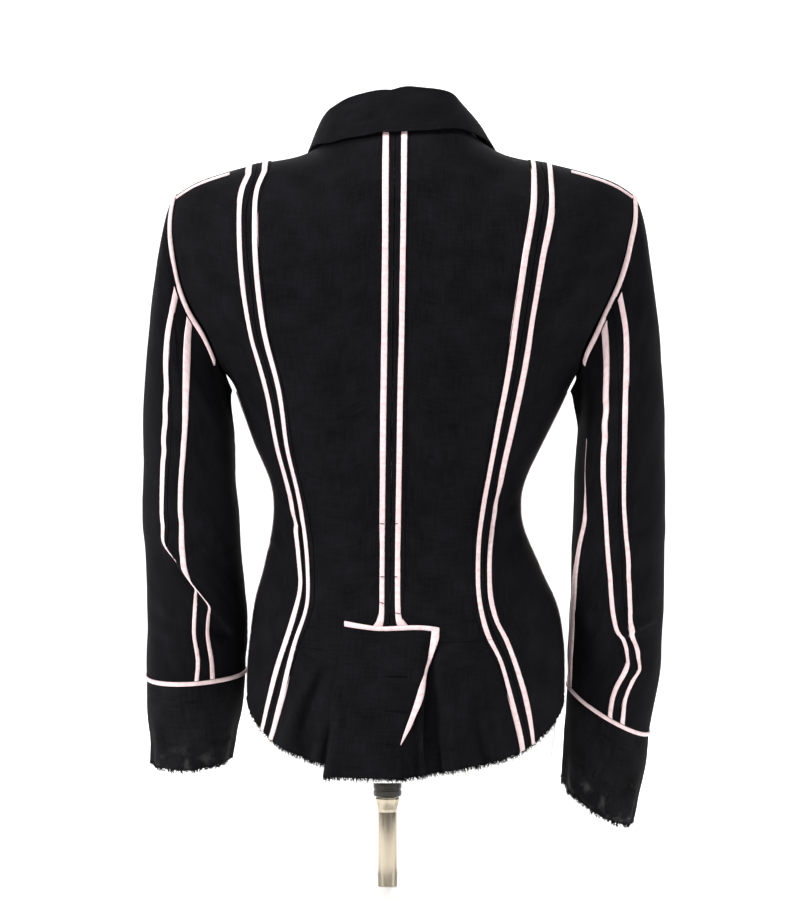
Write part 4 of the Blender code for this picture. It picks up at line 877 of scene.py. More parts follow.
class Shader:
    """A short way to add and join nodes of one material."""

    def __init__(self, name: str) -> None:
        """Starts a material with its main shader."""
        self.material = bpy.data.materials.new(name)
        self.material.use_nodes = True
        self.tree = self.material.node_tree
        self.main = self.tree.nodes["Principled BSDF"]

    def add(self, kind: str, inputs: dict[str | int, object] | None = None,
            **settings: object) -> bpy.types.Node:
        """Adds a node.

        Args:
            kind: the node's type.
            inputs: numbers for its sockets, or sockets to join to them.
            settings: its own settings.

        Returns:
            The node.
        """
        node = self.tree.nodes.new(kind)
        for name, value in settings.items():
            setattr(node, name, value)
        for name, value in (inputs or {}).items():
            if isinstance(value, bpy.types.NodeSocket):
                self.tree.links.new(value, node.inputs[name])
            else:
                node.inputs[name].default_value = value
        return node

    def combine(self, kind: str, a: object, b: object) -> bpy.types.NodeSocket:
        """Returns a math node's result for two numbers or sockets."""
        return self.add("ShaderNodeMath", {0: a, 1: b}, operation=kind).outputs[0]

    def weighted(self, a: bpy.types.NodeSocket, share_a: float, b: bpy.types.NodeSocket,
                 share_b: float) -> bpy.types.NodeSocket:
        """Returns the sum of two patterns, each taken at its own share."""
        return self.combine("ADD", self.combine("MULTIPLY", a, share_a), self.combine("MULTIPLY", b, share_b))

    def stretched(self, place: bpy.types.NodeSocket, scale: tuple[float, float, float],
                  turn: float = 0.0) -> bpy.types.NodeSocket:
        """Returns coordinates scaled along their axes, after a turn."""
        node = self.add("ShaderNodeMapping", {"Vector": place, "Scale": scale, "Rotation": (0, 0, turn)})
        return node.outputs[0]

    def noise(self, place: bpy.types.NodeSocket, scale: float, detail: float = 3.0) -> bpy.types.NodeSocket:
        """Returns a noise pattern's value."""
        return self.add("ShaderNodeTexNoise", {"Vector": place, "Scale": scale, "Detail": detail}).outputs[0]

    def ranged(self, value: bpy.types.NodeSocket, start: tuple[float, float],
                end: tuple[float, float]) -> bpy.types.NodeSocket:
        """Returns a value carried from one range to another and held at its ends."""
        node = self.add("ShaderNodeMapRange", {"Value": value, "From Min": start[0], "From Max": start[1],
                                               "To Min": end[0], "To Max": end[1]})
        return node.outputs[0]

    def ramp(self, value: bpy.types.NodeSocket, stops: Sequence[tuple[float, tuple]]) -> bpy.types.NodeSocket:
        """Returns a colour from a value by a row of stops."""
        node = self.add("ShaderNodeValToRGB", {"Fac": value})
        elements = node.color_ramp.elements
        for index, (place, colour) in enumerate(stops):
            element = elements[index] if index < 2 else elements.new(place)
            element.position = place
            element.color = (*colour, 1.0)
        return node.outputs[0]

    def bump(self, height: bpy.types.NodeSocket, strength: float, distance: float) -> None:
        """Gives the main shader a relief."""
        node = self.add("ShaderNodeBump", {"Height": height, "Strength": strength, "Distance": distance})
        self.tree.links.new(node.outputs[0], self.main.inputs["Normal"])

    def set(self, **values: object) -> None:
        """Sets or joins the main shader's sockets; an underscore in a name stands for a space."""
        for name, value in values.items():
            socket = self.main.inputs[name.replace("_", " ")]
            if isinstance(value, bpy.types.NodeSocket):
                self.tree.links.new(value, socket)
            else:
                socket.default_value = value


@dataclass(frozen=True)
class LinenFinish:
    """Black plain-weave linen: crossed threads with slubs, matt with a faint bloom."""

    name: str = "black_linen"
    dark: tuple[float, float, float] = (0.0004, 0.0003, 0.0005)
    light: tuple[float, float, float] = (0.0062, 0.0058, 0.0075)
    pitch: float = 0.62 * MM
    roughness: float = 0.82
    open_weave: float = 0.0
    open_from: float = 40 * MM
    open_to: float = 72 * MM

    def make(self) -> bpy.types.Material:
        """Returns the material: warp and weft waves for the relief, stretched noise for slubs."""
        shader = Shader(self.name)
        place = shader.add("ShaderNodeUVMap", uv_map="cloth").outputs[0]
        threads = []
        slubs = []
        for turn, stretch in ((0.0, (1.0, 0.06, 1.0)), (math.pi / 2, (0.06, 1.0, 1.0))):
            wave = shader.add("ShaderNodeTexWave", {
                "Vector": shader.stretched(place, (1, 1, 1), turn), "Scale": 0.314 / self.pitch,
                "Distortion": 1.2, "Detail": 2.0, "Detail Scale": 1.5}, wave_profile="SIN")
            threads.append(wave.outputs["Fac"])
            slubs.append(shader.noise(shader.stretched(place, stretch), 800.0, 4.0))
        weave = shader.combine("MULTIPLY", threads[0], threads[1])
        slub = shader.combine("ADD", slubs[0], slubs[1])
        cloud = shader.noise(place, 30.0, 5.0)
        tone = shader.weighted(slub, 0.36, cloud, 0.30)
        colour = shader.ramp(tone, ((0.38, self.dark), (0.64, self.light)))
        rough = shader.ranged(slub, (0.6, 1.4), (self.roughness - 0.1, self.roughness + 0.1))
        shader.set(Base_Color=colour, Roughness=rough, Specular_IOR_Level=0.05,
                   Sheen_Weight=0.006, Sheen_Roughness=0.4)
        shader.bump(shader.combine("ADD", shader.combine("MULTIPLY", weave, 0.5), slub), 0.32, 0.35 * MM)
        if self.open_weave:
            down = shader.add("ShaderNodeSeparateXYZ", {0: place}).outputs[1]
            low = shader.ranged(down, (self.open_from, self.open_to), (0.0, self.open_weave))
            patch = shader.ranged(shader.noise(place, 90.0, 6.0), (0.46, 0.66), (0.0, 1.0))
            gaps = shader.ranged(weave, (0.05, 0.45), (1.0, 0.25))
            clear = shader.combine("MULTIPLY", shader.combine("MULTIPLY", low, patch), gaps)
            shader.set(Alpha=shader.combine("SUBTRACT", 1.0, clear))
        return shader.material


@dataclass(frozen=True)
class SatinFinish:
    """Pale pink satin tape: fine long floats, a soft shine and small puckers."""

    name: str = "pink_satin"
    # the darker colour is painted shade in the puckers' hollows, the lighter colour painted light on their
    # crests
    painted_shade: tuple[float, float, float] = (0.58, 0.40, 0.41)
    light: tuple[float, float, float] = (0.72, 0.57, 0.58)
    roughness: float = 0.40

    def make(self) -> bpy.types.Material:
        """Returns the material: stretched noise for floats, rounder noise for puckers and for a tone of painted
        shade in their hollows and painted light on their crests.
        """
        shader = Shader(self.name)
        place = shader.add("ShaderNodeUVMap", uv_map="cloth").outputs[0]
        floats = shader.noise(shader.stretched(place, (1.0, 0.08, 1.0), 0.6), 2600.0, 2.0)
        pucker = shader.noise(shader.stretched(place, (0.6, 1.5, 1.0), 0.5), 210.0, 3.0)
        # painted shade and light: the colour follows the puckers' relief, darker in its hollows and lighter on
        # its crests, plus the floats' own tone
        tone = shader.weighted(pucker, 0.7, floats, 0.3)
        shader.set(Base_Color=shader.ramp(tone, ((0.28, self.painted_shade), (0.62, self.light))),
                   Roughness=self.roughness, Specular_IOR_Level=0.55, Anisotropic=0.45,
                   Sheen_Weight=0.15, Sheen_Roughness=0.3)
        shader.bump(shader.weighted(pucker, 0.8, floats, 0.12), 0.12, 0.5 * MM)
        return shader.material


@dataclass(frozen=True)
class ThreadFinish:
    """Spun thread: a matt colour broken by painted shade between the fibres of its twist."""

    name: str
    colour: tuple[float, float, float]
    bloom: float = 0.1

    def make(self) -> bpy.types.Material:
        """Returns the material: fine noise darkens the colour as painted shade between fibres."""
        shader = Shader(self.name)
        place = shader.add("ShaderNodeTexCoord").outputs["Object"]
        # painted shade: random dark flecks stand for the shade between the thread's fibres
        fibre_shade = shader.noise(place, 2400.0, 2.0)
        dark = tuple(0.55 * value for value in self.colour)
        shader.set(Base_Color=shader.ramp(fibre_shade, ((0.35, dark), (0.65, self.colour))), Roughness=0.7,
                   Sheen_Weight=self.bloom, Specular_IOR_Level=self.bloom)
        return shader.material


@dataclass(frozen=True)
class HardFinish:
    """A hard surface: paint, metal or plastic with fine wear in its shine."""

    name: str
    colour: tuple[float, float, float]
    roughness: float
    metallic: float = 0.0
    grain: tuple[float, float, float] = (1.0, 1.0, 1.0)
    scale: float = 120.0
    relief: float = 0.02
    coat: float = 0.0

    def make(self) -> bpy.types.Material:
        """Returns the material: stretched noise moves the roughness, the tone and a low relief."""
        shader = Shader(self.name)
        place = shader.add("ShaderNodeTexCoord").outputs["Object"]
        marks = shader.noise(shader.stretched(place, self.grain), self.scale, 5.0)
        dark = tuple(0.82 * value for value in self.colour)
        rough = shader.ranged(marks, (0.3, 0.7), (0.75 * self.roughness, 1.25 * self.roughness))
        shader.set(Base_Color=shader.ramp(marks, ((0.3, dark), (0.6, self.colour))), Metallic=self.metallic,
                   Roughness=rough, Coat_Weight=self.coat, Coat_Roughness=0.12)
        shader.bump(marks, self.relief, 0.4 * MM)
        return shader.material


@dataclass(frozen=True)
class JerseyFinish:
    """The form's white jersey cover: fine knitted ribs."""

    name: str = "white_jersey"
    colour: tuple[float, float, float] = (0.90, 0.90, 0.89)

    def make(self) -> bpy.types.Material:
        """Returns the material: waves for the ribs and noise for the tone."""
        shader = Shader(self.name)
        place = shader.add("ShaderNodeUVMap", uv_map="cloth").outputs[0]
        rib = shader.add("ShaderNodeTexWave",
                         {"Vector": place, "Scale": 260.0, "Distortion": 2.0, "Detail": 2.0})
        cloud = shader.noise(place, 60.0, 4.0)
        dark = tuple(0.9 * value for value in self.colour)
        shader.set(Base_Color=shader.ramp(cloud, ((0.35, dark), (0.6, self.colour))), Roughness=0.85,
                   Sheen_Weight=0.2, Sheen_Roughness=0.5)
        shader.bump(rib.outputs["Fac"], 0.2, 0.3 * MM)
        return shader.material


class Wardrobe:
    """Every finish of the model, made once."""

    def __init__(self) -> None:
        """Makes the materials."""
        self.linen = LinenFinish().make()
        self.sheer = LinenFinish(name="open_linen", light=(0.0085, 0.0080, 0.0092), open_weave=0.17).make()
        self.satin = SatinFinish().make()
        self.black_thread = ThreadFinish("black_thread", (0.0022, 0.0022, 0.0026), 0.02).make()
        self.pink_thread = ThreadFinish("pink_thread", (0.80, 0.58, 0.56)).make()
        self.button = HardFinish("horn_button", (0.016, 0.015, 0.015), 0.22, grain=(1, 4, 1), coat=0.4).make()
        self.jersey = JerseyFinish().make()
        self.chrome = HardFinish("brushed_chrome", (0.40, 0.35, 0.27), 0.16, 1.0, (1, 1, 0.05), 500.0).make()
        self.clamp = HardFinish("black_clamp", (0.016, 0.015, 0.011), 0.32, 0.7, relief=0.05, coat=0.2).make()
        self.plate = HardFinish("white_powder_coat", (0.86, 0.86, 0.85), 0.42, scale=900.0, relief=0.10).make()


@dataclass(frozen=True)
class Band:
    """The two long edges of a tape: parameters along the seam edge and along the free edge."""

    near: tuple[Array, Array]
    far: tuple[Array, Array]


# z, left x, right x of each tape's edges on the back, in millimetres
RIBBONS = {
    "side_left": (
        (151, -112.6, -108.8), (202, -101.1, -95.5), (251, -85.6, -79.9), (281, -78.4, -74.0),
        (300, -79.9, -75.4), (349, -86.7, -82.1), (402, -99.2, -94.8), (454, -109.3, -104.2),
        (506, -122.9, -118.3), (558, -130.6, -125.4), (604, -132.9, -127.7), (631, -131.3, -125.5),
        (645, -126.7, -120.3),
    ),
    "back_left": (
        (144, -105.1, -101.3), (181, -95.9, -90.8), (227, -84.1, -79.1), (269, -71.6, -67.6),
        (300, -72.4, -68.2), (349, -79.0, -74.6), (402, -90.3, -86.2), (451, -97.3, -92.3),
        (506, -110.9, -105.3), (558, -117.5, -111.8), (604, -119.3, -113.6), (630, -117.8, -112.5),
        (648, -112.4, -106.1),
    ),
    "back_right": (
        (138, 116.3, 120.8), (147, 114.5, 119.5), (183, 105.9, 110.9), (215, 96.9, 101.3),
        (239, 84.7, 90.5), (269, 78.4, 83.2), (295, 77.3, 82.2), (321, 78.4, 83.3), (349, 82.1, 87.1),
        (377, 87.1, 92.3), (427, 95.9, 101.6), (476, 104.3, 110.5), (525, 111.6, 117.3),
        (569, 118.1, 123.9), (615, 126.0, 131.9), (644, 127.8, 132.8),
    ),
    "side_right": (
        (141, 126.3, 130.0), (154, 124.2, 128.9), (194, 115.0, 120.9), (233, 101.5, 106.8),
        (251, 92.8, 98.1), (275, 87.7, 93.1), (300, 88.0, 92.5), (349, 94.3, 99.2), (377, 98.2, 104.2),
        (427, 108.4, 114.7), (476, 118.3, 124.3), (525, 126.2, 131.8), (569, 133.2, 139.4),
        (615, 141.7, 147.9), (642, 142.1, 147.5),
    ),
    "centre_left": (
        (246, -12.6, -2.8), (250, -9.6, -2.3), (254, -8.2, -2.1), (259, -7.5, -1.9), (278, -7.2, -1.9),
        (400, -6.4, -0.7), (531, -4.8, 1.3), (681, -4.1, 2.3),
    ),
    "centre_right": (
        (246, 7.8, 19.1), (250, 7.0, 15.4), (254, 6.7, 13.2), (259, 6.5, 12.5), (278, 6.3, 12.1),
        (400, 7.7, 13.5), (531, 9.9, 16.1), (681, 11.7, 18.3),
    ),
}


@dataclass
class Binding:
    """The satin binding of a seam allowance: a low rounded tape with puckers and a stitched edge."""

    surface: Surface
    finishes: Wardrobe
    cuts: CutList
    crown: float = 0.95 * MM
    foot: float = 0.22 * MM
    columns: int = 9
    pucker: float = 0.08 * MM
    pitch: float = 7.5 * MM
    edge_wander: float = 0.03
    slim_width: float = 3 * MM
    under: float = 0.06 * MM
    hollow: float = 0.1 * MM
    thread_lift: float = 0.02 * MM
    stitches: list[tuple[Array, Array]] = field(default_factory=list)
    seed: int = 3

    def __post_init__(self) -> None:
        """Draws the noise of the puckers."""
        self.noise = SmoothNoise(self.seed, 5 * MM)
        self.wander = SmoothNoise(self.seed + 1, 21 * MM)

    def beside(self, u: Array, v: Array, near: Array | float, far: Array | float, sign: float) -> Band:
        """Returns the edges of a tape that runs along v, at two distances sideways of a line."""
        return Band((self.surface.shift_u(u, v, sign * near), v), (self.surface.shift_u(u, v, sign * far), v))

    def below(self, u: Array, v: Array, near: Array | float, far: Array | float, sign: float) -> Band:
        """Returns the edges of a tape that runs round u, at two distances along v of a line."""
        v = np.broadcast_to(np.asarray(v, float), u.shape)
        return Band((u, self.surface.shift_v(u, v, sign * near)), (u, self.surface.shift_v(u, v, sign * far)))

    def tape(self, name: str, band: Band, carrier: str, ring: bool = False, raised: float = 0.0,
             stands_for: str = "") -> None:
        """Adds a tape between two edges on the surface.

        Across the tape its height is a flat arch, one less the fourth power of the distance
        from its middle. Slanted waves and noise pucker it, and its edges wander a little.

        Args:
            name: the end of the piece's name, and of its solid's where no other is given.
            band: its edges.
            carrier: the cloth that it lies on, without its "_linen".
            ring: whether it closes on itself.
            raised: how far its seam edge stands up.
            stands_for: the end of its solid's name.
        """
        node = f"tape_{stands_for or name}"
        share = np.linspace(0.0, 1.0, self.columns)[None, :]
        line = self.surface.base(*band.near)
        edge = self.edge_wander * self.wander(line)[:, None]
        share = share + edge * (2 * share - 1)
        (u0, v0), (u1, v1) = ([value[:, None] for value in side] for side in (band.near, band.far))
        u, v = u0 + (u1 - u0) * share, v0 + (v1 - v0) * share
        flat = self.surface.base(u, v)
        run = np.linalg.norm(np.diff(flat[:, :1], axis=0, prepend=flat[:1, :1]), axis=-1).cumsum(axis=0)
        width = np.linalg.norm(flat[:, -1:] - flat[:, :1], axis=-1)
        arch = 1 - np.abs(2 * share - 1) ** 4
        slim = smooth_step(width / self.slim_width)
        wave = np.sin(2 * math.pi * (run / self.pitch + 0.55 * share) + 3 * self.wander(flat))
        lift = self.foot + slim * arch * (self.crown + self.pucker * (wave + 1.2 * self.noise(flat)))
        up = np.zeros(flat.shape)
        up[..., 2] = raised * (1 - share) ** 2
        outer = self.surface.place(u, v, lift) + up
        inner = self.surface.place(u, v, self.under + self.hollow * arch) + 0.8 * up
        parts = MeshParts()
        places = np.stack([share * width, run + 0 * share], -1)
        if ring:
            outer, inner, places = (np.swapaxes(grid, 0, 1) for grid in (outer, inner, places))
        parts.add_wall(outer, inner, ring, places)
        piece = parts.build(f"binding_{name}", self.finishes.satin, "satin_tape", 70.0)
        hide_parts(node)
        self.cuts.trim(f"{carrier}_linen", piece)
        for column in (1, -2):
            seam = self.surface.place(u[:, column], v[:, column], lift[:, column] + self.thread_lift)
            above = self.surface.place(u[:, column], v[:, column], lift[:, column] + 1 * MM)
            self.stitches.append((seam, above - seam))


def thread_mesh(parts: MeshParts, starts: Array, ways: Array, outs: Array, radius: float) -> None:
    """Adds short threads, each a slim closed spindle with a raised middle.

    Args:
        parts: where they go.
        starts: each thread's first end.
        ways: the vector to its other end.
        outs: the direction that its middle bulges in.
        radius: its radius.
    """
    side = unit(np.cross(ways, outs)) * radius
    up = unit(outs) * radius
    middle = starts + 0.5 * ways
    points = np.stack([starts, middle + side, middle + up * 1.6, middle - side, middle - up, starts + ways], 1)
    pattern = np.array([(0, 1, 2), (0, 2, 3), (0, 3, 4), (0, 4, 1), (5, 2, 1), (5, 3, 2), (5, 4, 3), (5, 1, 4)])
    sample = points[0]
    a, b, c = (sample[pattern[:, k]] for k in range(3))
    if np.sum(np.cross(b - a, c - a) * (a + b + c - 3 * sample.mean(axis=0))) < 0:
        pattern = pattern[:, ::-1]
    faces = (np.arange(len(starts)) * 6)[:, None, None] + pattern[None]
    parts.add(points, faces.reshape(-1, 3))


def stitch_row(parts: MeshParts, line: Array, outs: Array, pitch: float = 2.4 * MM, length: float = 1.7 * MM,
               radius: float = 0.14 * MM, slant: Array | None = None) -> None:
    """Adds stitches along a line, spaced evenly by its length.

    Args:
        parts: where they go.
        line: points along the line.
        outs: the direction off the cloth at each point.
        pitch: the distance from stitch to stitch.
        length: the length of a stitch.
        radius: the thread's radius.
        slant: a fixed direction for the stitches, where they don't follow the line.
    """
    lengths = lengths_along(line)
    places = np.arange(0.5 * pitch, lengths[-1] - 0.5 * pitch, pitch)
    if len(places) == 0:
        return
    starts = read_line(line, lengths, places - 0.5 * length)
    ways = read_line(line, lengths, places + 0.5 * length) - starts
    if slant is not None:
        starts = read_line(line, lengths, places) - 0.5 * slant
        ways = np.broadcast_to(slant, starts.shape)
    thread_mesh(parts, starts, ways, read_line(outs, lengths, places), radius)


@dataclass
class BodyCloth:
    """The cut pieces of the jacket's body: backs, side backs, fronts and the flared lower back."""

    surface: BodySurface
    finishes: Wardrobe
    bindings: Binding
    cuts: CutList
    back_columns: int = 44
    peplum_columns: int = 64
    side_columns: int = 32
    front_columns: int = 56
    peplum_near: float = 225 * MM
    seam_fade: float = 30 * MM
    peplum_still: float = 160 * MM
    foot_low: float = 243 * MM
    foot_high: float = 262 * MM
    break_z: float = 470 * MM
    neck_z: float = 660 * MM
    cross_z: float = 502 * MM
    cross_fade: float = 40 * MM
    front_overlap: float = 12 * MM
    front_step: float = 2.6 * MM
    top_middle: float = 12 * MM
    neck_bare: float = 84 * MM
    shoulder_tape: tuple[float, float] = (0.4 * MM, 7.0 * MM)
    roll_over: float = 152 * MM
    roll_drops: tuple[float, float] = (3.0 * MM, 5.2 * MM)
    shoulder_raise: float = 0.4 * MM
    edges: dict[str, tuple[Array, Array]] = field(default_factory=dict)

    def panel(self, name: str, turns: Array, levels: Array, seams: Sequence[tuple[int, float]],
              rests_on: Sequence[str], lift: Array | float = 0.0) -> None:
        """Adds one cut piece with the allowances of its seams.

        Args:
            name: its node's name, which the piece's own name starts with.
            turns: its grid of turns, seam to seam.
            levels: its grid of levels.
            seams: the columns that carry an allowance, each with its side.
            rests_on: what it hangs from.
            lift: a step outwards.
        """
        parts = MeshParts()
        outer = self.surface.place(turns, levels, lift)
        parts.add_wall(outer, self.surface.place(turns, levels, lift - CLOTH))
        grids = [self.surface.base(turns, levels)]
        for column, sign in seams:
            grids.append(add_allowance(parts, self.surface, turns[:, column], levels[:, column], sign))
        piece = parts.build(name + "_linen", self.finishes.linen, "linen")
        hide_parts(name)
        self.cuts.add(piece, grids, Hold.DRAPED, rests_on)
        foot = self.surface.place(turns[0], levels[0], lift[0] if np.ndim(lift) else lift)
        self.edges[name] = (foot, self.surface.normal(turns[0], levels[0]))

    def blend(self, a: Array, b: Array, levels: Array, sign: float, columns: int) -> Array:
        """Returns turns from one seam to another, half a gap inside each."""
        start = self.surface.shift_u(a, levels, SEAM_HALF * sign)
        end = self.surface.shift_u(b, levels, -SEAM_HALF * sign)
        return start[:, None] + (end - start)[:, None] * np.linspace(0, 1, columns)[None, :]

    def ribbon(self, name: str, levels: Array, near: float) -> Band:
        """Returns the edges of a tape from its table; near is the side of its seam edge."""
        edges = [(self.surface.turn_for_x(TableCurve(RIBBONS[name], k), levels), levels) for k in (1, 2)]
        return Band(*(edges if near < 0 else edges[::-1]))

    def peplum_foot(self, side: str) -> float:
        """Returns the level of the peplum's seam at a princess seam."""
        return float(self.surface.peplum_z(self.surface.seam_x[side](self.peplum_near)))

    def back(self, side: str) -> None:
        """Adds a centre back panel, its two tapes and the peplum half below it."""
        body, sign = self.surface, SIDES[side]
        foot = self.peplum_foot(side)
        levels = body.levels_over(foot, body.back_top)
        princess = body.turn_for_x(body.seam_x[side], levels)
        neck = body.neck_level(np.zeros(1), np.array([body.back_top]))[0]
        stretch = (neck - body.roll_start) / (body.back_top - body.roll_start)
        rolled = body.roll_start + (levels - body.roll_start) * stretch
        centre = body.turn_for_x(body.seam_x["centre"], np.where(levels > body.roll_start, rolled, levels))
        turns = self.blend(centre, princess, levels, sign, self.back_columns)
        tops = body.neck_level(turns[-1], np.full(turns.shape[1], body.back_top))
        rise = np.clip((levels - body.roll_start) / (body.back_top - body.roll_start), 0, 1)[:, None]
        grid = np.where(levels[:, None] > body.roll_start,
                        body.roll_start + rise * (tops[None] - body.roll_start), levels[:, None] + 0 * turns)
        seam = body.peplum_z(body.base(turns[0], levels[0])[..., 0]) + SEAM_HALF
        fade = np.clip(1 - (levels - foot) / self.seam_fade, 0, 1)[:, None]
        grid = grid + (seam[None] - foot) * fade
        self.panel(f"back_{side}", turns, grid, ((0, sign), (-1, -sign)), ["form"])
        flare = np.linspace(self.foot_low, self.foot_high, 20)
        tape_rows = np.unique(np.concatenate([flare, grid[grid[:, 0] > self.foot_high, 0]]))
        tape = self.bindings.tape
        tape(f"centre_{side}", self.ribbon(f"centre_{side}", tape_rows, -sign), f"back_{side}")
        tape(f"princess_back_{side}", self.ribbon(f"back_{side}", grid[:, -1], sign), f"back_{side}")

        low = np.append(body.levels(body.hem_level, foot)[:-1], foot)
        centre = body.turn_for_x(body.seam_x["centre"], low)
        princess = body.turn_for_x(body.seam_x[side], low)
        turns = self.blend(centre, princess, low, sign, self.peplum_columns)
        seam = body.peplum_z(body.base(turns[-1], np.full(turns.shape[1], foot))[..., 0]) - SEAM_HALF
        fade = smooth_step((low - self.peplum_still) / (foot - self.peplum_still))[:, None]
        grid = low[:, None] + (seam[None] - foot) * fade
        self.panel(f"peplum_{side}", turns, grid, ((-1, -sign),), [f"back_{side}_linen"])
        tape(f"peplum_{side}", self.ribbon(f"back_{side}", grid[:, -1], sign), f"peplum_{side}")

    def side_back(self, side: str) -> None:
        """Adds a side back panel with its princess tape."""
        body, sign = self.surface, SIDES[side]
        levels = body.levels_over(body.hem_level, body.back_top)
        princess = body.turn_for_x(body.seam_x[side], levels)
        turns = self.blend(princess, body.armhole_turn(side, levels), levels, sign, self.side_columns)
        grid = levels[:, None] + 0 * turns
        self.panel(f"side_{side}", turns, grid, ((0, sign),), ["form"])
        self.bindings.tape(f"princess_side_{side}", self.ribbon(f"side_{side}", levels, -sign), f"side_{side}")

    def front(self, side: str) -> None:
        """Adds a front with its side and shoulder tapes; the right front laps over the left."""
        body, sign = self.surface, SIDES[side]
        levels = body.levels_over(body.hem_level, body.front_top)
        edge = body.armhole_turn(side, levels, front=True)

        def edge_x(z: Array) -> Array:
            """Returns the front edge's x: straight, then the roll line up to the neck."""
            middle = body.half_widths(np.minimum(z, body.roll_start))[0]
            climb = np.clip((z - self.break_z) / (self.neck_z - self.break_z), 0, None)
            apart = (body.neck_half + self.front_overlap) * climb - self.front_overlap
            return middle + sign * np.minimum(apart, body.neck_half)

        opening = body.turn_for_x(edge_x, levels, front=True)
        opening = np.where(opening * sign < 0, opening + sign * 360.0, opening)
        turns = self.blend(edge, opening, levels, sign, self.front_columns)
        lift = np.zeros(turns.shape)
        if side == "right":
            fade = 1 - smooth_step((np.abs(turns - opening[:, None]) - 8) / 16)
            low = 1 - smooth_step((levels - self.cross_z) / self.cross_fade)
            lift = self.front_step * fade * low[:, None]
        self.panel(f"front_{side}", turns, levels[:, None] + 0 * turns, (), ["form"], lift)
        below = levels < body.underarm_z
        beside = self.bindings.beside(edge[below], levels[below], TAPE_NEAR, TAPE_FAR, sign)
        self.bindings.tape(f"side_{side}", beside, f"front_{side}")
        top = body.base(turns[-1], levels[-1] + 0 * turns[-1])
        apart = np.abs(top[:, 0] - self.top_middle)
        outer = turns[-1, apart > self.neck_bare]
        band = self.bindings.below(outer, levels[-1] + 0 * outer, *self.shoulder_tape, -1.0)
        self.bindings.tape(f"shoulder_{side}", band, f"front_{side}", raised=self.shoulder_raise)
        behind = sign * (180.0 - np.abs(turns[-1, apart > self.roll_over]))
        edges = [(behind, body.below_ridge(behind, levels[-1], drop)) for drop in self.roll_drops]
        self.bindings.tape(f"shoulder_roll_{side}", Band(*edges), f"front_{side}",
                           stands_for=f"shoulder_{side}")


@dataclass
class VentFlap:
    """The tongue over the middle of the lower back, with a tape along its top and its slanted edge."""

    surface: BodySurface
    finishes: Wardrobe
    bindings: Binding
    cuts: CutList
    lift: float = 2.8 * MM
    swell: float = 1.2 * MM
    swell_top: float = 240 * MM
    swell_fade: float = 60 * MM
    # z, left x, right x
    rows: tuple = ((115.6, -56, 12), (144.3, -52, 12), (156.4, -50.5, 18.2), (179.9, -47.5, 29.5),
                   (214.6, -42.5, 37.7), (235.4, -39.5, 44.8), (249.5, -36, 45.2))
    # z, left x, right x of the edge's tape
    edge: tuple = ((144.3, 10.8, 11.6), (156.4, 14.7, 18.2), (168.6, 19.1, 25.1), (179.9, 23.4, 29.5),
                   (192, 27.3, 32.9), (203.3, 31.6, 34.6), (211, 33.6, 36.4), (214.6, 34.7, 37.7),
                   (225, 36.5, 41.5), (235.4, 38.2, 44.8), (244, 39.0, 45.1))
    # x, upper z, lower z of the top's tape
    top: tuple = ((-36.5, 249.7, 244.8), (-20, 246.8, 242.6), (-6, 245.1, 241.4), (10, 245.6, 241.8),
                  (24, 246.2, 242.3), (36, 245.6, 241.6), (45.2, 244.2, 239.4))

    def build(self) -> None:
        """Adds the flap's cloth and its two tapes; its height runs up to the top tape's line."""
        body = self.surface
        left, right = (TableCurve(self.rows, k) for k in (1, 2))
        rise = TableCurve(self.top, 1)
        down = np.linspace(0, 1, 70)[:, None]
        share = np.linspace(0, 1, 48)[None]
        z = (self.rows[0][0] + (self.rows[-1][0] - self.rows[0][0]) * down) * MM
        x = left(z) + (right(z) - left(z)) * share
        z = z + (rise(x) - self.rows[-1][0] * MM) * down ** 6
        turns, grid = body.turn_at(x, z)
        swell = self.swell * np.sin(math.pi * share) * smooth_step((self.swell_top - z) / self.swell_fade)
        parts = MeshParts()
        outer = body.place(turns, grid, self.lift + swell)
        parts.add_wall(outer, body.place(turns, grid, self.lift + swell - CLOTH))
        piece = parts.build("vent_flap_linen", self.finishes.linen, "linen")
        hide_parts("vent_flap")
        self.cuts.add(piece, [body.base(turns, grid)], Hold.DRAPED, ["peplum_left_linen", "peplum_right_linen"])
        self.bindings.surface = LiftedSurface(body, self.lift)
        across = np.linspace(self.top[0][0], self.top[-1][0], 80) * MM
        edges = [body.turn_at(across, TableCurve(self.top, k)(across)) for k in (1, 2)]
        self.bindings.tape("flap_top", Band(*edges), "vent_flap")
        high = np.linspace(self.edge[0][0], self.edge[-1][0], 90) * MM
        edges = [body.turn_at(TableCurve(self.edge, k)(high), high) for k in (2, 1)]
        self.bindings.tape("flap_edge", Band(*edges), "vent_flap")
        self.bindings.surface = body
        self.foot = outer[0], body.normal(turns[0], grid[0])


class LiftedSurface(Surface):
    """A surface at a fixed distance outside another."""

    def __init__(self, carrier: Surface, lift: float) -> None:
        """Keeps the carrier and the distance."""
        self.carrier = carrier
        self.lift = lift
        self.u_step = carrier.u_step
        self.v_step = carrier.v_step
        self.base = carrier.base

    def place(self, u: Array, v: Array, lift: Array | float = 0.0) -> Array:
        """Returns points of the carrier, lifted further."""
        return self.carrier.place(u, v, lift + self.lift)


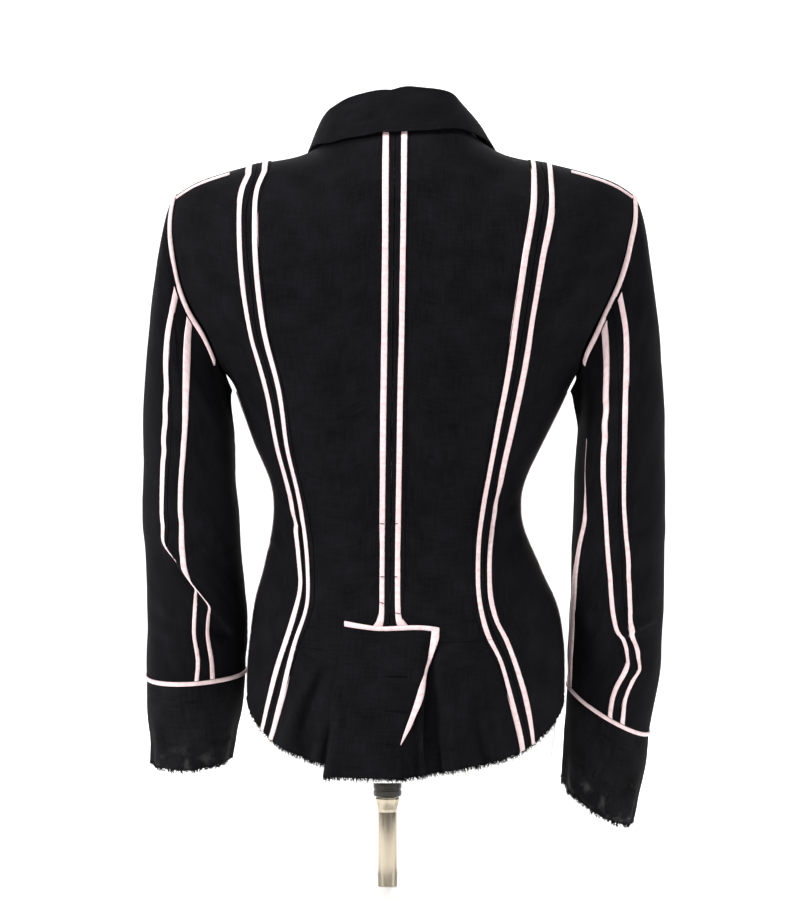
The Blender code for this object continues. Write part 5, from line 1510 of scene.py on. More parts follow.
SLEEVE_ROWS = {
    "left": (
        (-220, 428, -137, 414, -190.4, 0, 61, 0), (-220, 400, -136.5, 390, -192, 1, 60, 0),
        (-220, 372, -136, 364, -194.4, 2, 59, 0), (-219.8, 342, -134, 338, -194.5, 3, 57, 0),
        (-218.5, 315, -132.5, 312, -193.5, 4, 56, 0), (-217.4, 293, -130.5, 290, -186, 5, 55, 0),
        (-216.4, 272, -128.5, 270, -171, 7, 54, 2), (-216.5, 248, -126.5, 250, -166.8, 10, 52, 3),
        (-218, 222, -126, 229, -168, 13, 50, 5), (-218.5, 203, -128, 209, -168.5, 16, 47.5, 7),
        (-218.5, 198, -128, 204, -168.5, 16, 47, 7),
    ),
    "right": (
        (249.5, 426, 170, 416, 205, 0, 61, 0), (249.5, 396, 169, 396, 204.3, 1, 60, 0),
        (250.2, 364, 168, 364, 204.5, 2, 59, 0), (250.3, 332, 167, 332, 205.5, 3, 57, 0),
        (249.6, 300, 166, 300, 208, 4, 56, 0), (249, 268, 165, 268, 209.8, 6, 54, 2),
        (247.6, 236, 163, 234, 216, 9, 52, 4), (246.2, 206, 162, 218, 222, 12, 50, 6),
        (241.7, 178, 162.5, 204, 211, 14, 48, 8), (237.6, 154, 163, 196, 207, 16, 46.5, 9),
        (236.6, 149, 163, 191, 206.5, 16, 46, 9),
    ),
}
CUFF_ROWS = {
    "left": ((-218.4, 197.6, -128.1, 203.6, -168.5, 16, 46.9, 7), (-217.4, 166, -131, 172, -172, 18, 45, 8),
             (-214.5, 142, -136.5, 147, -174, 20, 43, 9), (-214.2, 121, -141, 126, -177, 22, 41, 10)),
    "right": ((236.5, 148.5, 163, 190.5, 206.5, 16, 45.9, 9), (233.3, 122, 160.5, 160, 203, 18, 44, 10),
              (228, 94, 158.5, 131, 199, 20, 42, 11), (222, 67, 157.5, 103, 196, 22, 41, 12)),
}
SLEEVE_CREASES = {
    "left": (
        (-206, 470, -150, 430, 8, -1.6, 6), (-204, 440, -150, 404, 8, -1.4, 5),
        (-212, 400, -160, 384, 6, -1.0, -4), (-210, 330, -150, 352, 7, -1.6, 5),
        (-206, 300, -140, 330, 6, -1.4, 5), (-160, 300, -132, 320, 5, -1.6, 3),
        (-176, 262, -134, 276, 6, -1.5, -4), (-212, 262, -184, 240, 6, -1.4, 4),
        (-212, 236, -176, 224, 5, -1.1, 3), (-160, 244, -132, 236, 5, -1.2, 3),
    ),
    "right": (
        (236, 470, 176, 428, 8, -1.6, -6), (234, 440, 178, 404, 8, -1.4, -5),
        (236, 534, 216, 452, 7, -1.2, 5), (175, 466, 175, 356, 4, -1.3, 3),
        (240, 340, 200, 322, 7, -1.3, -4), (238, 300, 190, 286, 7, -1.4, -4),
        (240, 262, 186, 244, 6, -1.7, -5), (236, 224, 206, 232, 5, -1.5, 3),
        (238, 206, 190, 222, 6, -1.6, 4), (186, 250, 168, 262, 5, -1.4, 3),
    ),
}
SLEEVE_OVERHANGS = {
    "left": (Overhang((-198, 320), (-133, 233), 2.2, 2.2, 14, 6),),
    "right": (Overhang((238, 250), (198, 232), 1.0, 1.0, 10, 6),),
}
# z, left x, right x of the edges of each sleeve's tapes
SLEEVE_RIBBONS = {
    "top_left": (
        (195, -172.4, -168.0), (212, -171.1, -166.6), (237, -174.2, -170.0), (262, -172.9, -168.8),
        (271, -172.0, -168.5), (279, -170.8, -169.0), (294, -180.2, -179.2), (310, -192.0, -190.2),
        (318, -199.0, -195.5), (333, -201.9, -197.8), (377, -201.7, -196.6), (427, -199.0, -193.7),
        (501, -197.7, -191.9), (547, -190.1, -184.4),
    ),
    "under_left": (
        (195, -158.2, -153.9), (212, -159.1, -154.6), (237, -161.7, -157.6), (250, -160.9, -157.1),
        (262, -159.4, -156.8), (268, -161.7, -160.1), (276, -168.3, -166.0), (284, -175.1, -171.5),
        (299, -181.6, -176.8), (321, -184.1, -179.5), (349, -186.0, -181.3), (427, -181.6, -176.3),
        (501, -180.6, -174.4), (522, -178.6, -173.3), (534, -183.0, -176.8),
    ),
    "under_right": (
        (164, 196.7, 201.1), (180, 199.0, 203.5), (190, 202.3, 207.3), (203, 209.1, 214.4),
        (212, 212.3, 216.2), (231, 207.9, 212.6), (240, 202.0, 206.4), (250, 199.3, 203.8),
        (299, 194.9, 199.3), (349, 190.9, 195.5), (402, 189.6, 194.9), (477, 191.8, 197.6),
        (517, 190.5, 196.2), (534, 192.2, 198.4),
    ),
    "top_right": (
        (159, 207.3, 212.3), (180, 210.3, 214.4), (195, 216.2, 221.1), (206, 222.9, 226.8),
        (227, 218.8, 224.2), (237, 214.4, 220.6), (250, 213.5, 218.5), (299, 211.3, 216.2),
        (356, 207.3, 211.7), (427, 207.3, 213.2), (501, 209.1, 214.4), (543, 202.9, 208.2),
    ),
}
# z, left x, right x of the front seam's tape where the right sleeve turns it to the back
FRONT_RIBBON = (
    (139, 163.4, 165.6), (185, 162.8, 165.4), (224, 163.6, 166.6), (257, 165.0, 168.4), (285, 166.8, 170.2),
    (302, 169.1, 172.2), (323, 172.0, 174.9), (341, 174.6, 177.2), (351, 175.6, 177.1), (366, 176.6, 177.2),
    (420, 176.8, 177.1), (470, 176.8, 177.1),
)


@dataclass
class SleeveCloth:
    """One sleeve: a top and an under piece, a thin raw-edged cuff, and their tapes."""

    body: BodySurface
    finishes: Wardrobe
    cuts: CutList
    side: str
    front_seam: float
    seed: int
    allowance_from: float = -0.9
    tape_from: float = -0.87
    front_from: float = 0.3
    front_turn: float = 140.0
    front_turn_z: float = 466 * MM
    front_turn_span: float = 24 * MM
    armhole_turn: float = 140.0
    armhole_tape: tuple[float, float] = (0.5 * MM, 6.2 * MM)
    cuff_tape: tuple[float, float] = (0.0, 3.9 * MM)
    cuff_tape_lift: float = 0.3 * MM
    cuff_thick: float = 0.5 * MM
    cuff_ruffle: float = 1.1 * MM

    def __post_init__(self) -> None:
        """Makes the sleeve's surfaces."""
        self.surface = SleeveSurface(self.body, self.side, SLEEVE_ROWS[self.side], self.front_seam,
                                     creases_from(SLEEVE_CREASES[self.side]), SLEEVE_OVERHANGS[self.side],
                                     self.seed)
        self.cuff = SleeveSurface(self.body, self.side, CUFF_ROWS[self.side], self.front_seam, (), (),
                                  self.seed)
        self.bindings = Binding(self.surface, self.finishes, self.cuts, seed=self.seed)
        self.edge: tuple[Array, Array] | None = None

    def piece(self, node: str, start: Array, end: Array, rows: Array, columns: int) -> None:
        """Adds a cut piece of the sleeve between two seams, with the back seam's allowance.

        Args:
            node: the solid that it stands for, which the piece's own name starts with.
            start: the turn of its back seam in each row.
            end: the turn of its front seam in each row.
            rows: the rows.
            columns: how many columns it has.
        """
        way = np.sign(end[0] - start[0])
        first = self.surface.shift_u(start, rows, way * SEAM_HALF)
        last = self.surface.shift_u(end, rows, -way * SEAM_HALF)
        angles = first[:, None] + (last - first)[:, None] * np.linspace(0, 1, columns)[None]
        grid = rows[:, None] + 0 * angles
        parts = MeshParts()
        parts.add_wall(self.surface.place(angles, grid), self.surface.place(angles, grid, -CLOTH))
        low = rows > self.allowance_from
        top = add_allowance(parts, self.surface, start[low], rows[low], way)
        piece = parts.build(f"{node}_linen", self.finishes.linen, "linen")
        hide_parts(node)
        self.cuts.add(piece, [self.surface.base(angles, grid), top], Hold.HUNG, [f"side_{self.side}_linen"])

    def build(self) -> None:
        """Adds both pieces, the cuff and every tape of the sleeve."""
        surface, side = self.surface, self.side
        rows = np.concatenate([np.linspace(-1, 0, 40)[:-1], np.linspace(0, surface.last, 240)])
        back = surface.seam_angle(np.maximum(rows, 0))
        front = np.full(rows.shape, self.front_seam)
        self.piece(f"sleeve_under_{side}", back, front, rows, 40)
        self.piece(f"sleeve_top_{side}", back, front - 360.0, rows, 90)
        taped = rows > self.tape_from
        for piece in ("under", "top"):
            curves = [TableCurve(SLEEVE_RIBBONS[f"{piece}_{side}"], k) for k in (1, 2)]
            edges = [(surface.angle_for_x(curve, rows[taped], back[taped]), rows[taped]) for curve in curves]
            self.bindings.tape(f"sleeve_{piece}_{side}", Band(*edges), f"sleeve_{piece}_{side}")
        arm = rows >= self.front_from
        band = self.bindings.beside(front[arm], rows[arm], TAPE_NEAR, TAPE_FAR, -1.0)
        if side == "right":
            band = self.turned_front(band, surface.base(front[arm], rows[arm])[:, 2], rows[arm])
        self.bindings.tape(f"sleeve_front_{side}", band, f"sleeve_under_{side}")
        turns = np.linspace(-self.armhole_turn, self.armhole_turn, 170)
        band = self.bindings.below(turns, np.full(turns.shape, -1.0), *self.armhole_tape, 1.0)
        self.bindings.tape(f"armhole_{side}", band, f"sleeve_top_{side}")
        turns = np.arange(120) * 3.0
        self.bindings.surface = LiftedSurface(self.cuff, self.cuff_tape_lift)
        band = self.bindings.below(turns, 0 * turns, *self.cuff_tape, 1.0)
        self.bindings.tape(f"cuff_{side}", band, f"sleeve_top_{side}", ring=True)
        self.bindings.surface = surface
        self.build_cuff()

    def turned_front(self, band: Band, z: Array, rows: Array) -> Band:
        """Returns the front seam's tape moved to where the photograph shows it, below a height.

        Args:
            band: the tape's edges beside the seam.
            z: the seam's height in each row.
            rows: the rows.

        Returns:
            The moved edges.
        """
        share = smooth_step((self.front_turn_z - z) / self.front_turn_span)
        start = np.full(z.shape, self.front_turn)
        seen = [self.surface.angle_for_x(TableCurve(FRONT_RIBBON, k), rows, start) for k in (1, 2)]
        return Band(*((old + (new - old) * share, rows) for (old, _), new in zip((band.near, band.far), seen)))

    def build_cuff(self) -> None:
        """Adds the thin raw-edged cuff as one band."""
        turns = np.arange(128) * 360.0 / 128
        rows = np.linspace(0, self.cuff.last, 46)
        angles = turns[None] + 0 * rows[:, None]
        grid = rows[:, None] + 0 * angles
        waves = np.sin(np.radians(angles * 9) + 2 * np.sin(np.radians(angles * 2)))
        ruffle = self.cuff_ruffle * (rows / self.cuff.last)[:, None] ** 2 * waves
        parts = MeshParts()
        outer = self.cuff.place(angles, grid, ruffle)
        parts.add_wall(outer, self.cuff.place(angles, grid, ruffle - self.cuff_thick), True,
                       cloth_places(outer, True))
        piece = parts.build(f"cuff_{self.side}_linen", self.finishes.sheer, "linen")
        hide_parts(f"cuff_{self.side}")
        smooth = self.cuff.base(np.append(angles, angles[:, :1] + 360, 1), np.append(grid, grid[:, :1], 1))
        self.cuts.add(piece, [smooth], Hold.HUNG,
                      [f"sleeve_top_{self.side}_linen", f"sleeve_under_{self.side}_linen"])
        self.edge = (outer[-1], self.cuff.normal(angles[-1], grid[-1]))


@dataclass
class CollarCloth:
    """The turned-down collar and the two lapels."""

    surface: BodySurface
    finishes: Wardrobe
    cuts: CutList
    # place, shift, seam apart, seam roll, seam lift, fold up, fold out, edge apart, edge roll, edge lift, belly
    rows: tuple = (
        (0, -8, 0, 66.5, 1.5, 19.5, -3, 0, 50.8, 4, 3), (1, -8, 28, 69, 1.5, 21, -3, 31, 53.5, 4, 2.5),
        (2, -7, 52, 75, 1.5, 24.5, -4, 56, 64.5, 4, 2), (3, -4.5, 64, 85, 1.8, 26, -6, 76, 85, 4, 1.5),
        (4, -1.5, 66, 104, 2.2, 19, -4, 86, 106, 4, 2), (5, 0, 65, 126, 2.4, 9.5, 2, 91, 127, 4, 2),
        (6, 0, 57, 145, 2.4, 4.5, 4, 88, 146, 3.5, 2),
    )
    lean: float = -0.18
    fold_radius: float = 3.2 * MM
    waviness: float = 0.6 * MM
    thick: float = 1.3 * MM
    # the small lump on the fold: its x, its width and its height
    lump: tuple[float, float, float] = (17 * MM, 9 * MM, 1.6 * MM)
    lapel_thick: float = 1.2 * MM
    lapel_gap: float = 0.5 * MM
    lapel_belly: float = 2.0 * MM
    # z, roll line, outer edge
    lapel_rows: tuple = ((506, 4, 9), (530, 15, 46), (556, 26, 74), (584, 38, 94), (596, 43, 74), (608, 48, 55))
    stitches: list[tuple[Array, Array]] = field(default_factory=list)

    def over_shoulder(self, beside: Array, roll: Array) -> tuple[Array, Array]:
        """Returns points and directions at a signed distance from the middle and a roll over the shoulder."""
        body = self.surface
        front = roll > 90.0
        level = body.roll_start + body.roll_span * np.where(front, 180.0 - roll, roll) / 90.0
        half = body.half_widths(body.arm_height(body.rounded(np.sin(np.radians(roll)))))[1]
        turn = body.turn_for_share(beside / half)
        turn = np.where(front, 180.0 - turn, turn) * np.sign(beside)
        return body.base(turn, level), body.normal(turn, level)

    def profile(self, sign: float, half: Array) -> Array:
        """Returns the collar's control points, from its neck seam over the fold to its edge.

        Args:
            sign: the side.
            half: places from the centre back to the collar's end.

        Returns:
            Points, places by eight by three.
        """
        read = [TableCurve(self.rows, k, 1.0, 1.0) for k in range(1, 11)]
        shift, seam_apart, seam_roll, seam_lift, fold_up, fold_out, edge_apart, edge_roll, edge_lift, belly = (
            curve(half) for curve in read)
        seam, seam_out = self.over_shoulder((sign * seam_apart + shift) * MM, seam_roll)
        edge, edge_out = self.over_shoulder((sign * edge_apart + shift) * MM, edge_roll)
        seam = seam + seam_out * (seam_lift * MM)[:, None]
        edge = edge + edge_out * (edge_lift * MM)[:, None]
        out = unit((edge - seam) * np.array([1.0, 1.0, 0.0]))
        up = np.array([0.0, 0.0, 1.0])
        fold_up = (fold_up * MM)[:, None]
        top = seam + (up + np.array([self.lean, 0.0, 0.0])) * fold_up + out * (fold_out * MM)[:, None]
        radius = np.minimum(self.fold_radius, 0.3 * fold_up)
        inner = top - up * radius - out * radius
        outer = top - up * radius + out * radius
        puff = (out * 0.8 + up * 0.6) * (belly * MM)[:, None]
        middle = 0.5 * (outer + edge) + puff
        lower = edge + (outer - edge) * 0.18 + 0.5 * puff
        return np.stack([seam, 0.5 * (seam + inner), inner, top, outer, middle, lower, edge], axis=1)

    def collar(self) -> None:
        """Adds the collar: a smooth curve through each place's control points, carried round the neck."""
        half = np.linspace(0.0, 6.0, 60)
        sides = [self.profile(sign, half) for sign in (-1.0, 1.0)]
        control = np.concatenate([sides[0][::-1], sides[1][1:]])
        lengths = np.linalg.norm(np.diff(control.mean(axis=0), axis=0), axis=1)
        keys = np.append(0.0, lengths.cumsum()) / lengths.sum()
        fine = np.linspace(0, 1, 56)
        steps = np.diff(control, axis=1) / np.diff(keys)[None, :, None]
        slopes = np.concatenate([steps[:, :1], 0.5 * (steps[:, 1:] + steps[:, :-1]), steps[:, -1:]], axis=1)
        i = np.clip(np.searchsorted(keys, fine) - 1, 0, len(keys) - 2)
        t = ((fine - keys[i]) / (keys[i + 1] - keys[i]))[None, :, None]
        span = (keys[i + 1] - keys[i])[None, :, None]
        grid = cubic_between(control[:, i], control[:, i + 1], slopes[:, i], slopes[:, i + 1], span, t)
        normal = unit(np.cross(np.gradient(grid, axis=1), np.gradient(grid, axis=0)))
        noise = SmoothNoise(21, 30 * MM)
        grid = grid + normal * (self.waviness * noise(grid))[..., None]
        lump_x, lump_wide, lump_high = self.lump
        near = np.exp(-((grid[..., 0] - lump_x) / lump_wide) ** 2)
        grid[..., 2] += lump_high * near * np.exp(-((fine[None] - keys[3]) / 0.10) ** 2)
        parts = MeshParts()
        parts.add_wall(grid, grid - normal * self.thick)
        piece = parts.build("collar_linen", self.finishes.linen, "linen")
        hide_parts("collar")
        self.cuts.add(piece, [grid], Hold.FOLDED, ["back_left_linen", "back_right_linen"])
        self.stitches.append((grid[:, -3] + normal[:, -3] * 0.1 * MM, normal[:, -3]))

    def lapel(self, side: str) -> None:
        """Adds a lapel: the turned-back top of a front, lying on the chest."""
        body, sign = self.surface, SIDES[side]
        levels = np.linspace(self.lapel_rows[0][0], self.lapel_rows[-1][0], 52) * MM
        roll, outer = (TableCurve(self.lapel_rows, k)(levels)[:, None] for k in (1, 2))
        share = np.linspace(0.0, 1.0, 40)[None]
        apart = roll + (outer - roll) * share
        level = body.level_for_height(levels[:, None] + 0 * apart, apart)
        rise = body.rounded(np.sin(body.roll_angle(level)))
        half = body.half_widths(np.where(level > body.roll_start, body.arm_height(rise), level))[1]
        turns = (180.0 - body.turn_for_share(apart / half)) * sign
        climb = ((levels - levels[0]) / (levels[-1] - levels[0]))[:, None]
        belly = self.lapel_belly * (np.sin(math.pi * share) + (1 - climb) ** 2)
        lift = self.lapel_gap + belly + self.lapel_thick
        parts = MeshParts()
        top = body.place(turns, level, lift)
        parts.add_wall(top, body.place(turns, level, lift - self.lapel_thick))
        piece = parts.build(f"lapel_{side}_linen", self.finishes.linen, "linen")
        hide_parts(f"lapel_{side}")
        self.cuts.add(piece, [body.base(turns, level)], Hold.FOLDED, [f"front_{side}_linen"])
        self.stitches.append((top[:, -3], body.normal(turns[:, -3], level[:, -3])))


@dataclass
class Threads:
    """Sewing and fray: stitches along the bindings, buttonhole bars, tacks, and loose threads at raw edges."""

    finishes: Wardrobe
    seed: int = 17
    fray_pitch: float = 0.34 * MM
    fray_reach: tuple[float, float] = (2.0 * MM, 6.2 * MM)
    fray_root: float = 0.3 * MM
    # the places of a loose thread's four rings along it, and their radii in millimetres
    fray_shares: tuple = (-0.15, 0.35, 0.7, 1.0)
    fray_radii: tuple = (0.34, 0.30, 0.24, 0.10)
    bar_points: int = 40
    bar_pitch: float = 0.42 * MM
    bar_radius: float = 0.2 * MM

    def stitch_rows(self, name: str, rows: Sequence[tuple[Array, Array]], material: bpy.types.Material,
                    slot: str) -> None:
        """Adds rows of stitches as one piece."""
        parts = MeshParts()
        for line, outs in rows:
            stitch_row(parts, line, outs)
        parts.build(name, material, slot)

    def fray(self, name: str, edges: Sequence[tuple[Array, Array]], closed: bool = False) -> None:
        """Adds loose threads that hang from raw edges, each a bent triangle-section tube.

        Args:
            name: the piece's name.
            edges: for each edge its points and the directions off the cloth.
            closed: whether the edges close on themselves.
        """
        draw = np.random.default_rng(self.seed)
        parts = MeshParts()
        corners = 3
        share = np.array(self.fray_shares)[None, :, None]
        radius = np.array(self.fray_radii)[None, :, None, None] * MM
        turn = np.arange(corners) * 2 * math.pi / corners
        points_each = corners * len(self.fray_shares)
        walls = np.roll(grid_faces(len(self.fray_shares), corners, True)[:, ::-1], 1, axis=1)
        ends = np.array([(0, 1, 2), (11, 10, 9)])
        for line, outs in edges:
            if closed:
                line, outs = np.append(line, line[:1], 0), np.append(outs, outs[:1], 0)
            lengths = lengths_along(line)
            count = int(lengths[-1] / self.fray_pitch)
            at = np.sort(draw.uniform(0, lengths[-1], count))
            roots = read_line(line, lengths, at)
            out = unit(read_line(outs, lengths, at))
            along = unit(read_line(line, lengths, at + MM) - roots + 1e-9)
            down = unit(np.cross(along, out))
            down = down * np.where(down[:, 2:] > 0, -1.0, 1.0)
            size = draw.uniform(*self.fray_reach, (count, 1)) * draw.uniform(0.45, 1.0, (count, 1))
            lean = draw.normal(0, 0.5, (count, 1))
            tilt = draw.normal(0, 0.25, (count, 1))
            way = unit(down + along * lean + out * tilt)
            bend = along * draw.normal(0, 0.35, (count, 1)) + out * draw.normal(0, 0.25, (count, 1))
            hang = way[:, None] * share + bend[:, None] * share ** 2
            path = roots[:, None] - out[:, None] * self.fray_root + size[:, None] * hang
            side = unit(np.cross(way, out))[:, None, None]
            face = out[:, None, None]
            ring = side * np.cos(turn)[None, None, :, None] + face * np.sin(turn)[None, None, :, None]
            points = path[:, :, None] + ring * radius
            first = (np.arange(count) * points_each)[:, None, None]
            start = parts.count
            parts.add(points.reshape(-1, 3), (first + walls[None]).reshape(-1, 4))
            parts.faces.append((first + ends[None]).reshape(-1, 3) + start)
        parts.build(name, self.finishes.black_thread, "linen")

    def bars(self, name: str, body: BodySurface, rows: Sequence[tuple[float, float, float, float]], lift: float,
             width: float) -> None:
        """Adds dense bars of stitching, such as tacks and buttonholes.

        Args:
            name: the piece's name.
            body: the surface that they lie on.
            rows: for each bar its two ends, as x and z millimetres.
            lift: how far off the surface.
            width: how wide each bar is.
        """
        parts = MeshParts()
        for x0, z0, x1, z1 in rows:
            turn, level = body.turn_at(np.linspace(x0, x1, self.bar_points) * MM,
                                       np.linspace(z0, z1, self.bar_points) * MM)
            line = body.place(turn, level, lift)
            outs = body.normal(turn, level)
            across = unit(np.cross(outs, np.gradient(line, axis=0)))
            slant = across.mean(axis=0) * width
            stitch_row(parts, line, outs, self.bar_pitch, width, self.bar_radius, slant)
        parts.build(name, self.finishes.black_thread, "linen")


@dataclass
class DressForm:
    """The limbless torso form with its jersey cover, and the stand below it."""

    surface: BodySurface
    finishes: Wardrobe
    inset: float = 7.2 * MM
    bottom: float = 108 * MM
    neck_top: float = 706 * MM
    back_most: float = 104 * MM
    below_ridge: float = 1.2 * MM
    joint_gap: float = 0.3 * MM
    sides: int = 112
    # how much slimmer the form is beside the armholes, from which level, over what height
    arm_cut: tuple[float, float, float] = (16 * MM, 440 * MM, 60 * MM)
    # how much lower the form's top is near the neck, within what distance, fading over what
    neck_cut: tuple[float, float, float] = (8 * MM, 92 * MM, 30 * MM)
    # level, scale, gap below the ridge
    rows: tuple = (
        (100, 0.55, 0), (104, 0.85, 0), (120, 0.97, 0), (150, 1, 0), (190, 1, 0), (230, 1, 0),
        (262, 1, 0), (300, 1, 0), (338, 1, 0), (370, 1, 0), (404, 1, 0), (438, 1, 0), (470, 1, 0),
        (506, 1, 0), (540, 1, 0), (560, 1, 5), (580, 1, 4), (600, 1, 3), (616, 1, 2), (630, 1, 1.4),
        (642, 1, 1), (650, 1, 1), (655, 1, 1),
    )

    def torso(self) -> None:
        """Adds the torso: the body's own sections, set inside the cloth and closed at both ends."""
        turns = np.arange(self.sides) * 360.0 / self.sides - 180.0
        levels = np.unique(np.concatenate([np.linspace(100, 540, 90), np.linspace(540, 655, 46)]))
        keys, scales, gaps = np.array(self.rows).T
        scale = np.interp(levels, keys, scales)
        gap = np.interp(levels, keys, gaps) * MM
        body = self.surface
        levels = levels * MM
        arm_depth, arm_from, arm_span = self.arm_cut
        neck_depth, neck_wide, neck_span = self.neck_cut
        cut = arm_depth * smooth_step((levels - arm_from) / arm_span)
        rings = []
        for level, size, top, side_cut in zip(levels, scale, gap, cut):
            ring = body.base(turns, np.full(turns.shape, level), self.inset + side_cut,
                             self.below_ridge + top, folded=0.0)
            if level <= body.roll_start:
                ring[:, 2] = max(level, self.bottom)
            ring[:, 1] = np.maximum(ring[:, 1], -self.back_most) * size
            middle = float(body.half_widths(np.array([min(level, body.shoulder_z)]))[0][0])
            apart = np.abs(ring[:, 0] - middle)
            ring[:, 0] = middle + (ring[:, 0] - middle) * size
            if level > body.roll_start:
                ring[:, 2] -= neck_depth * smooth_step((neck_wide - apart) / neck_span)
                ring[:, 2] = np.minimum(ring[:, 2], self.neck_top)
            rings.append(ring)
        grid = np.stack(rings)
        parts = MeshParts()
        parts.add(grid, grid_faces(len(levels), self.sides, True), cloth_places(grid, True))
        parts.faces.append(np.arange(self.sides)[::-1][None])
        piece = parts.build("torso_form", self.finishes.jersey, "form_cover")
        close_shape(piece)
        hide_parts("form")

    def stand(self) -> None:
        """Adds the lathe-turned clamp, pole and base plate, each from rows of radius and height."""
        clamp = ((0, 0), (11.2, 0), (12.6, 0.7), (13, 2), (13, 5), (12.4, 5.6), (12.4, 7), (13, 7.6),
                 (13, 16.4), (12.6, 18), (11.6, 19), (0, 19))
        clamp_low = self.bottom - self.joint_gap - clamp[-1][1] * MM
        top = (clamp_low - self.joint_gap) / MM
        pole = ((0, 8.3), (8.8, 8.3), (8.8, 12), (8.8, 30), (8.8, top - 14), (8.6, top - 12.5), (9.0, top - 11),
                (10.6, top - 5), (11.2, top - 2), (10.8, top - 0.4), (0, top))
        base = ((0, 0), (138.6, 0), (140, 1.4), (140, 4.6), (139.2, 6.6), (137.4, 7.8), (135, 8), (24, 8),
                (0, 8))
        for name, node, profile, low, finish, slot in (
                ("stand_clamp", "clamp", clamp, clamp_low / MM, self.finishes.clamp, "dark_metal"),
                ("stand_pole", "pole", pole, 0.0, self.finishes.chrome, "chrome"),
                ("stand_base", "base", base, 0.0, self.finishes.plate, "base_paint")):
            parts = MeshParts()
            turned(parts, [(r * MM, (z + low) * MM) for r, z in profile])
            piece = parts.build(name, finish, slot, 30.0)
            close_shape(piece)
            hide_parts(node)


def turned(parts: MeshParts, profile: Sequence[tuple[float, float]], sides: int = 96) -> None:
    """Adds a shape turned on the pole's axis: each point of the profile swept round.

    Args:
        parts: where it goes.
        profile: radius and height, from the bottom's middle to the top's middle.
        sides: how many steps round.
    """
    turn = np.arange(sides) * 2 * math.pi / sides
    radius = np.array([max(r, 1e-7) for r, _ in profile])[:, None]
    height = np.array([z for _, z in profile])[:, None]
    grid = np.stack([radius * np.cos(turn), radius * np.sin(turn), height + 0 * turn], -1)
    parts.add(grid, grid_faces(len(profile), sides, True))


def close_shape(piece: bpy.types.Object) -> None:
    """Merges doubled points and turns every face outwards."""
    shape = bmesh.new()
    shape.from_mesh(piece.data)
    bmesh.ops.remove_doubles(shape, verts=shape.verts, dist=0.02 * MM)
    bmesh.ops.recalc_face_normals(shape, faces=shape.faces)
    shape.to_mesh(piece.data)
    shape.free()


@dataclass
class Buttons:
    """Three plain four-hole buttons sewn to the front edge."""

    surface: BodySurface
    finishes: Wardrobe
    step: float = 2.6 * MM
    sides: int = 64
    # the cross of thread: half its size, its height above the seat, its thickness
    cross: float = 1.4
    cross_high: float = 2.3 * MM
    cross_thick: float = 0.4 * MM
    # height, lift
    rows: tuple = ((445, -0.15), (385, 0.9), (325, 0.5))
    # radius, thickness
    profile: tuple = ((0, 0.0), (8.2, 0.0), (8.8, 0.5), (9, 1.1), (9, 2.0), (8.7, 2.7), (8.0, 3.0), (7.1, 2.95),
                      (6.5, 2.5), (6.0, 2.2), (0, 2.1))

    def build(self) -> None:
        """Adds each button, a shape turned about the line off the cloth, and its cross of thread."""
        turn = np.arange(self.sides) * 2 * math.pi / self.sides
        for number, (height, lift) in enumerate(self.rows, start=1):
            place = np.array([180.0]), np.array([height * MM])
            out = self.surface.normal(*place)[0]
            seat = self.surface.base(*place)[0] + out * (self.step + lift * MM)
            side = np.array([1.0, 0.0, 0.0])
            up = np.cross(out, side)
            spoke = np.cos(turn)[:, None] * side + np.sin(turn)[:, None] * up
            grid = np.stack([seat + out * thick * MM + spoke * max(radius, 1e-4) * MM
                             for radius, thick in self.profile])
            parts = MeshParts()
            parts.add(grid, grid_faces(len(self.profile), self.sides, True))
            piece = parts.build(f"front_button_{number}", self.finishes.button, "button", 40.0)
            close_shape(piece)
            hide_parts(f"button_{number}")
            parts = MeshParts()
            ends = np.array([(-self.cross, -self.cross), (-self.cross, self.cross)]) * MM
            starts = seat + out * self.cross_high + ends[:, :1] * side + ends[:, 1:] * up
            ways = 2 * self.cross * MM * np.stack([side + up, side - up])
            thread_mesh(parts, starts, ways, np.stack([out, out]), self.cross_thick)
            parts.build(f"button_thread_{number}", self.finishes.black_thread, "linen")


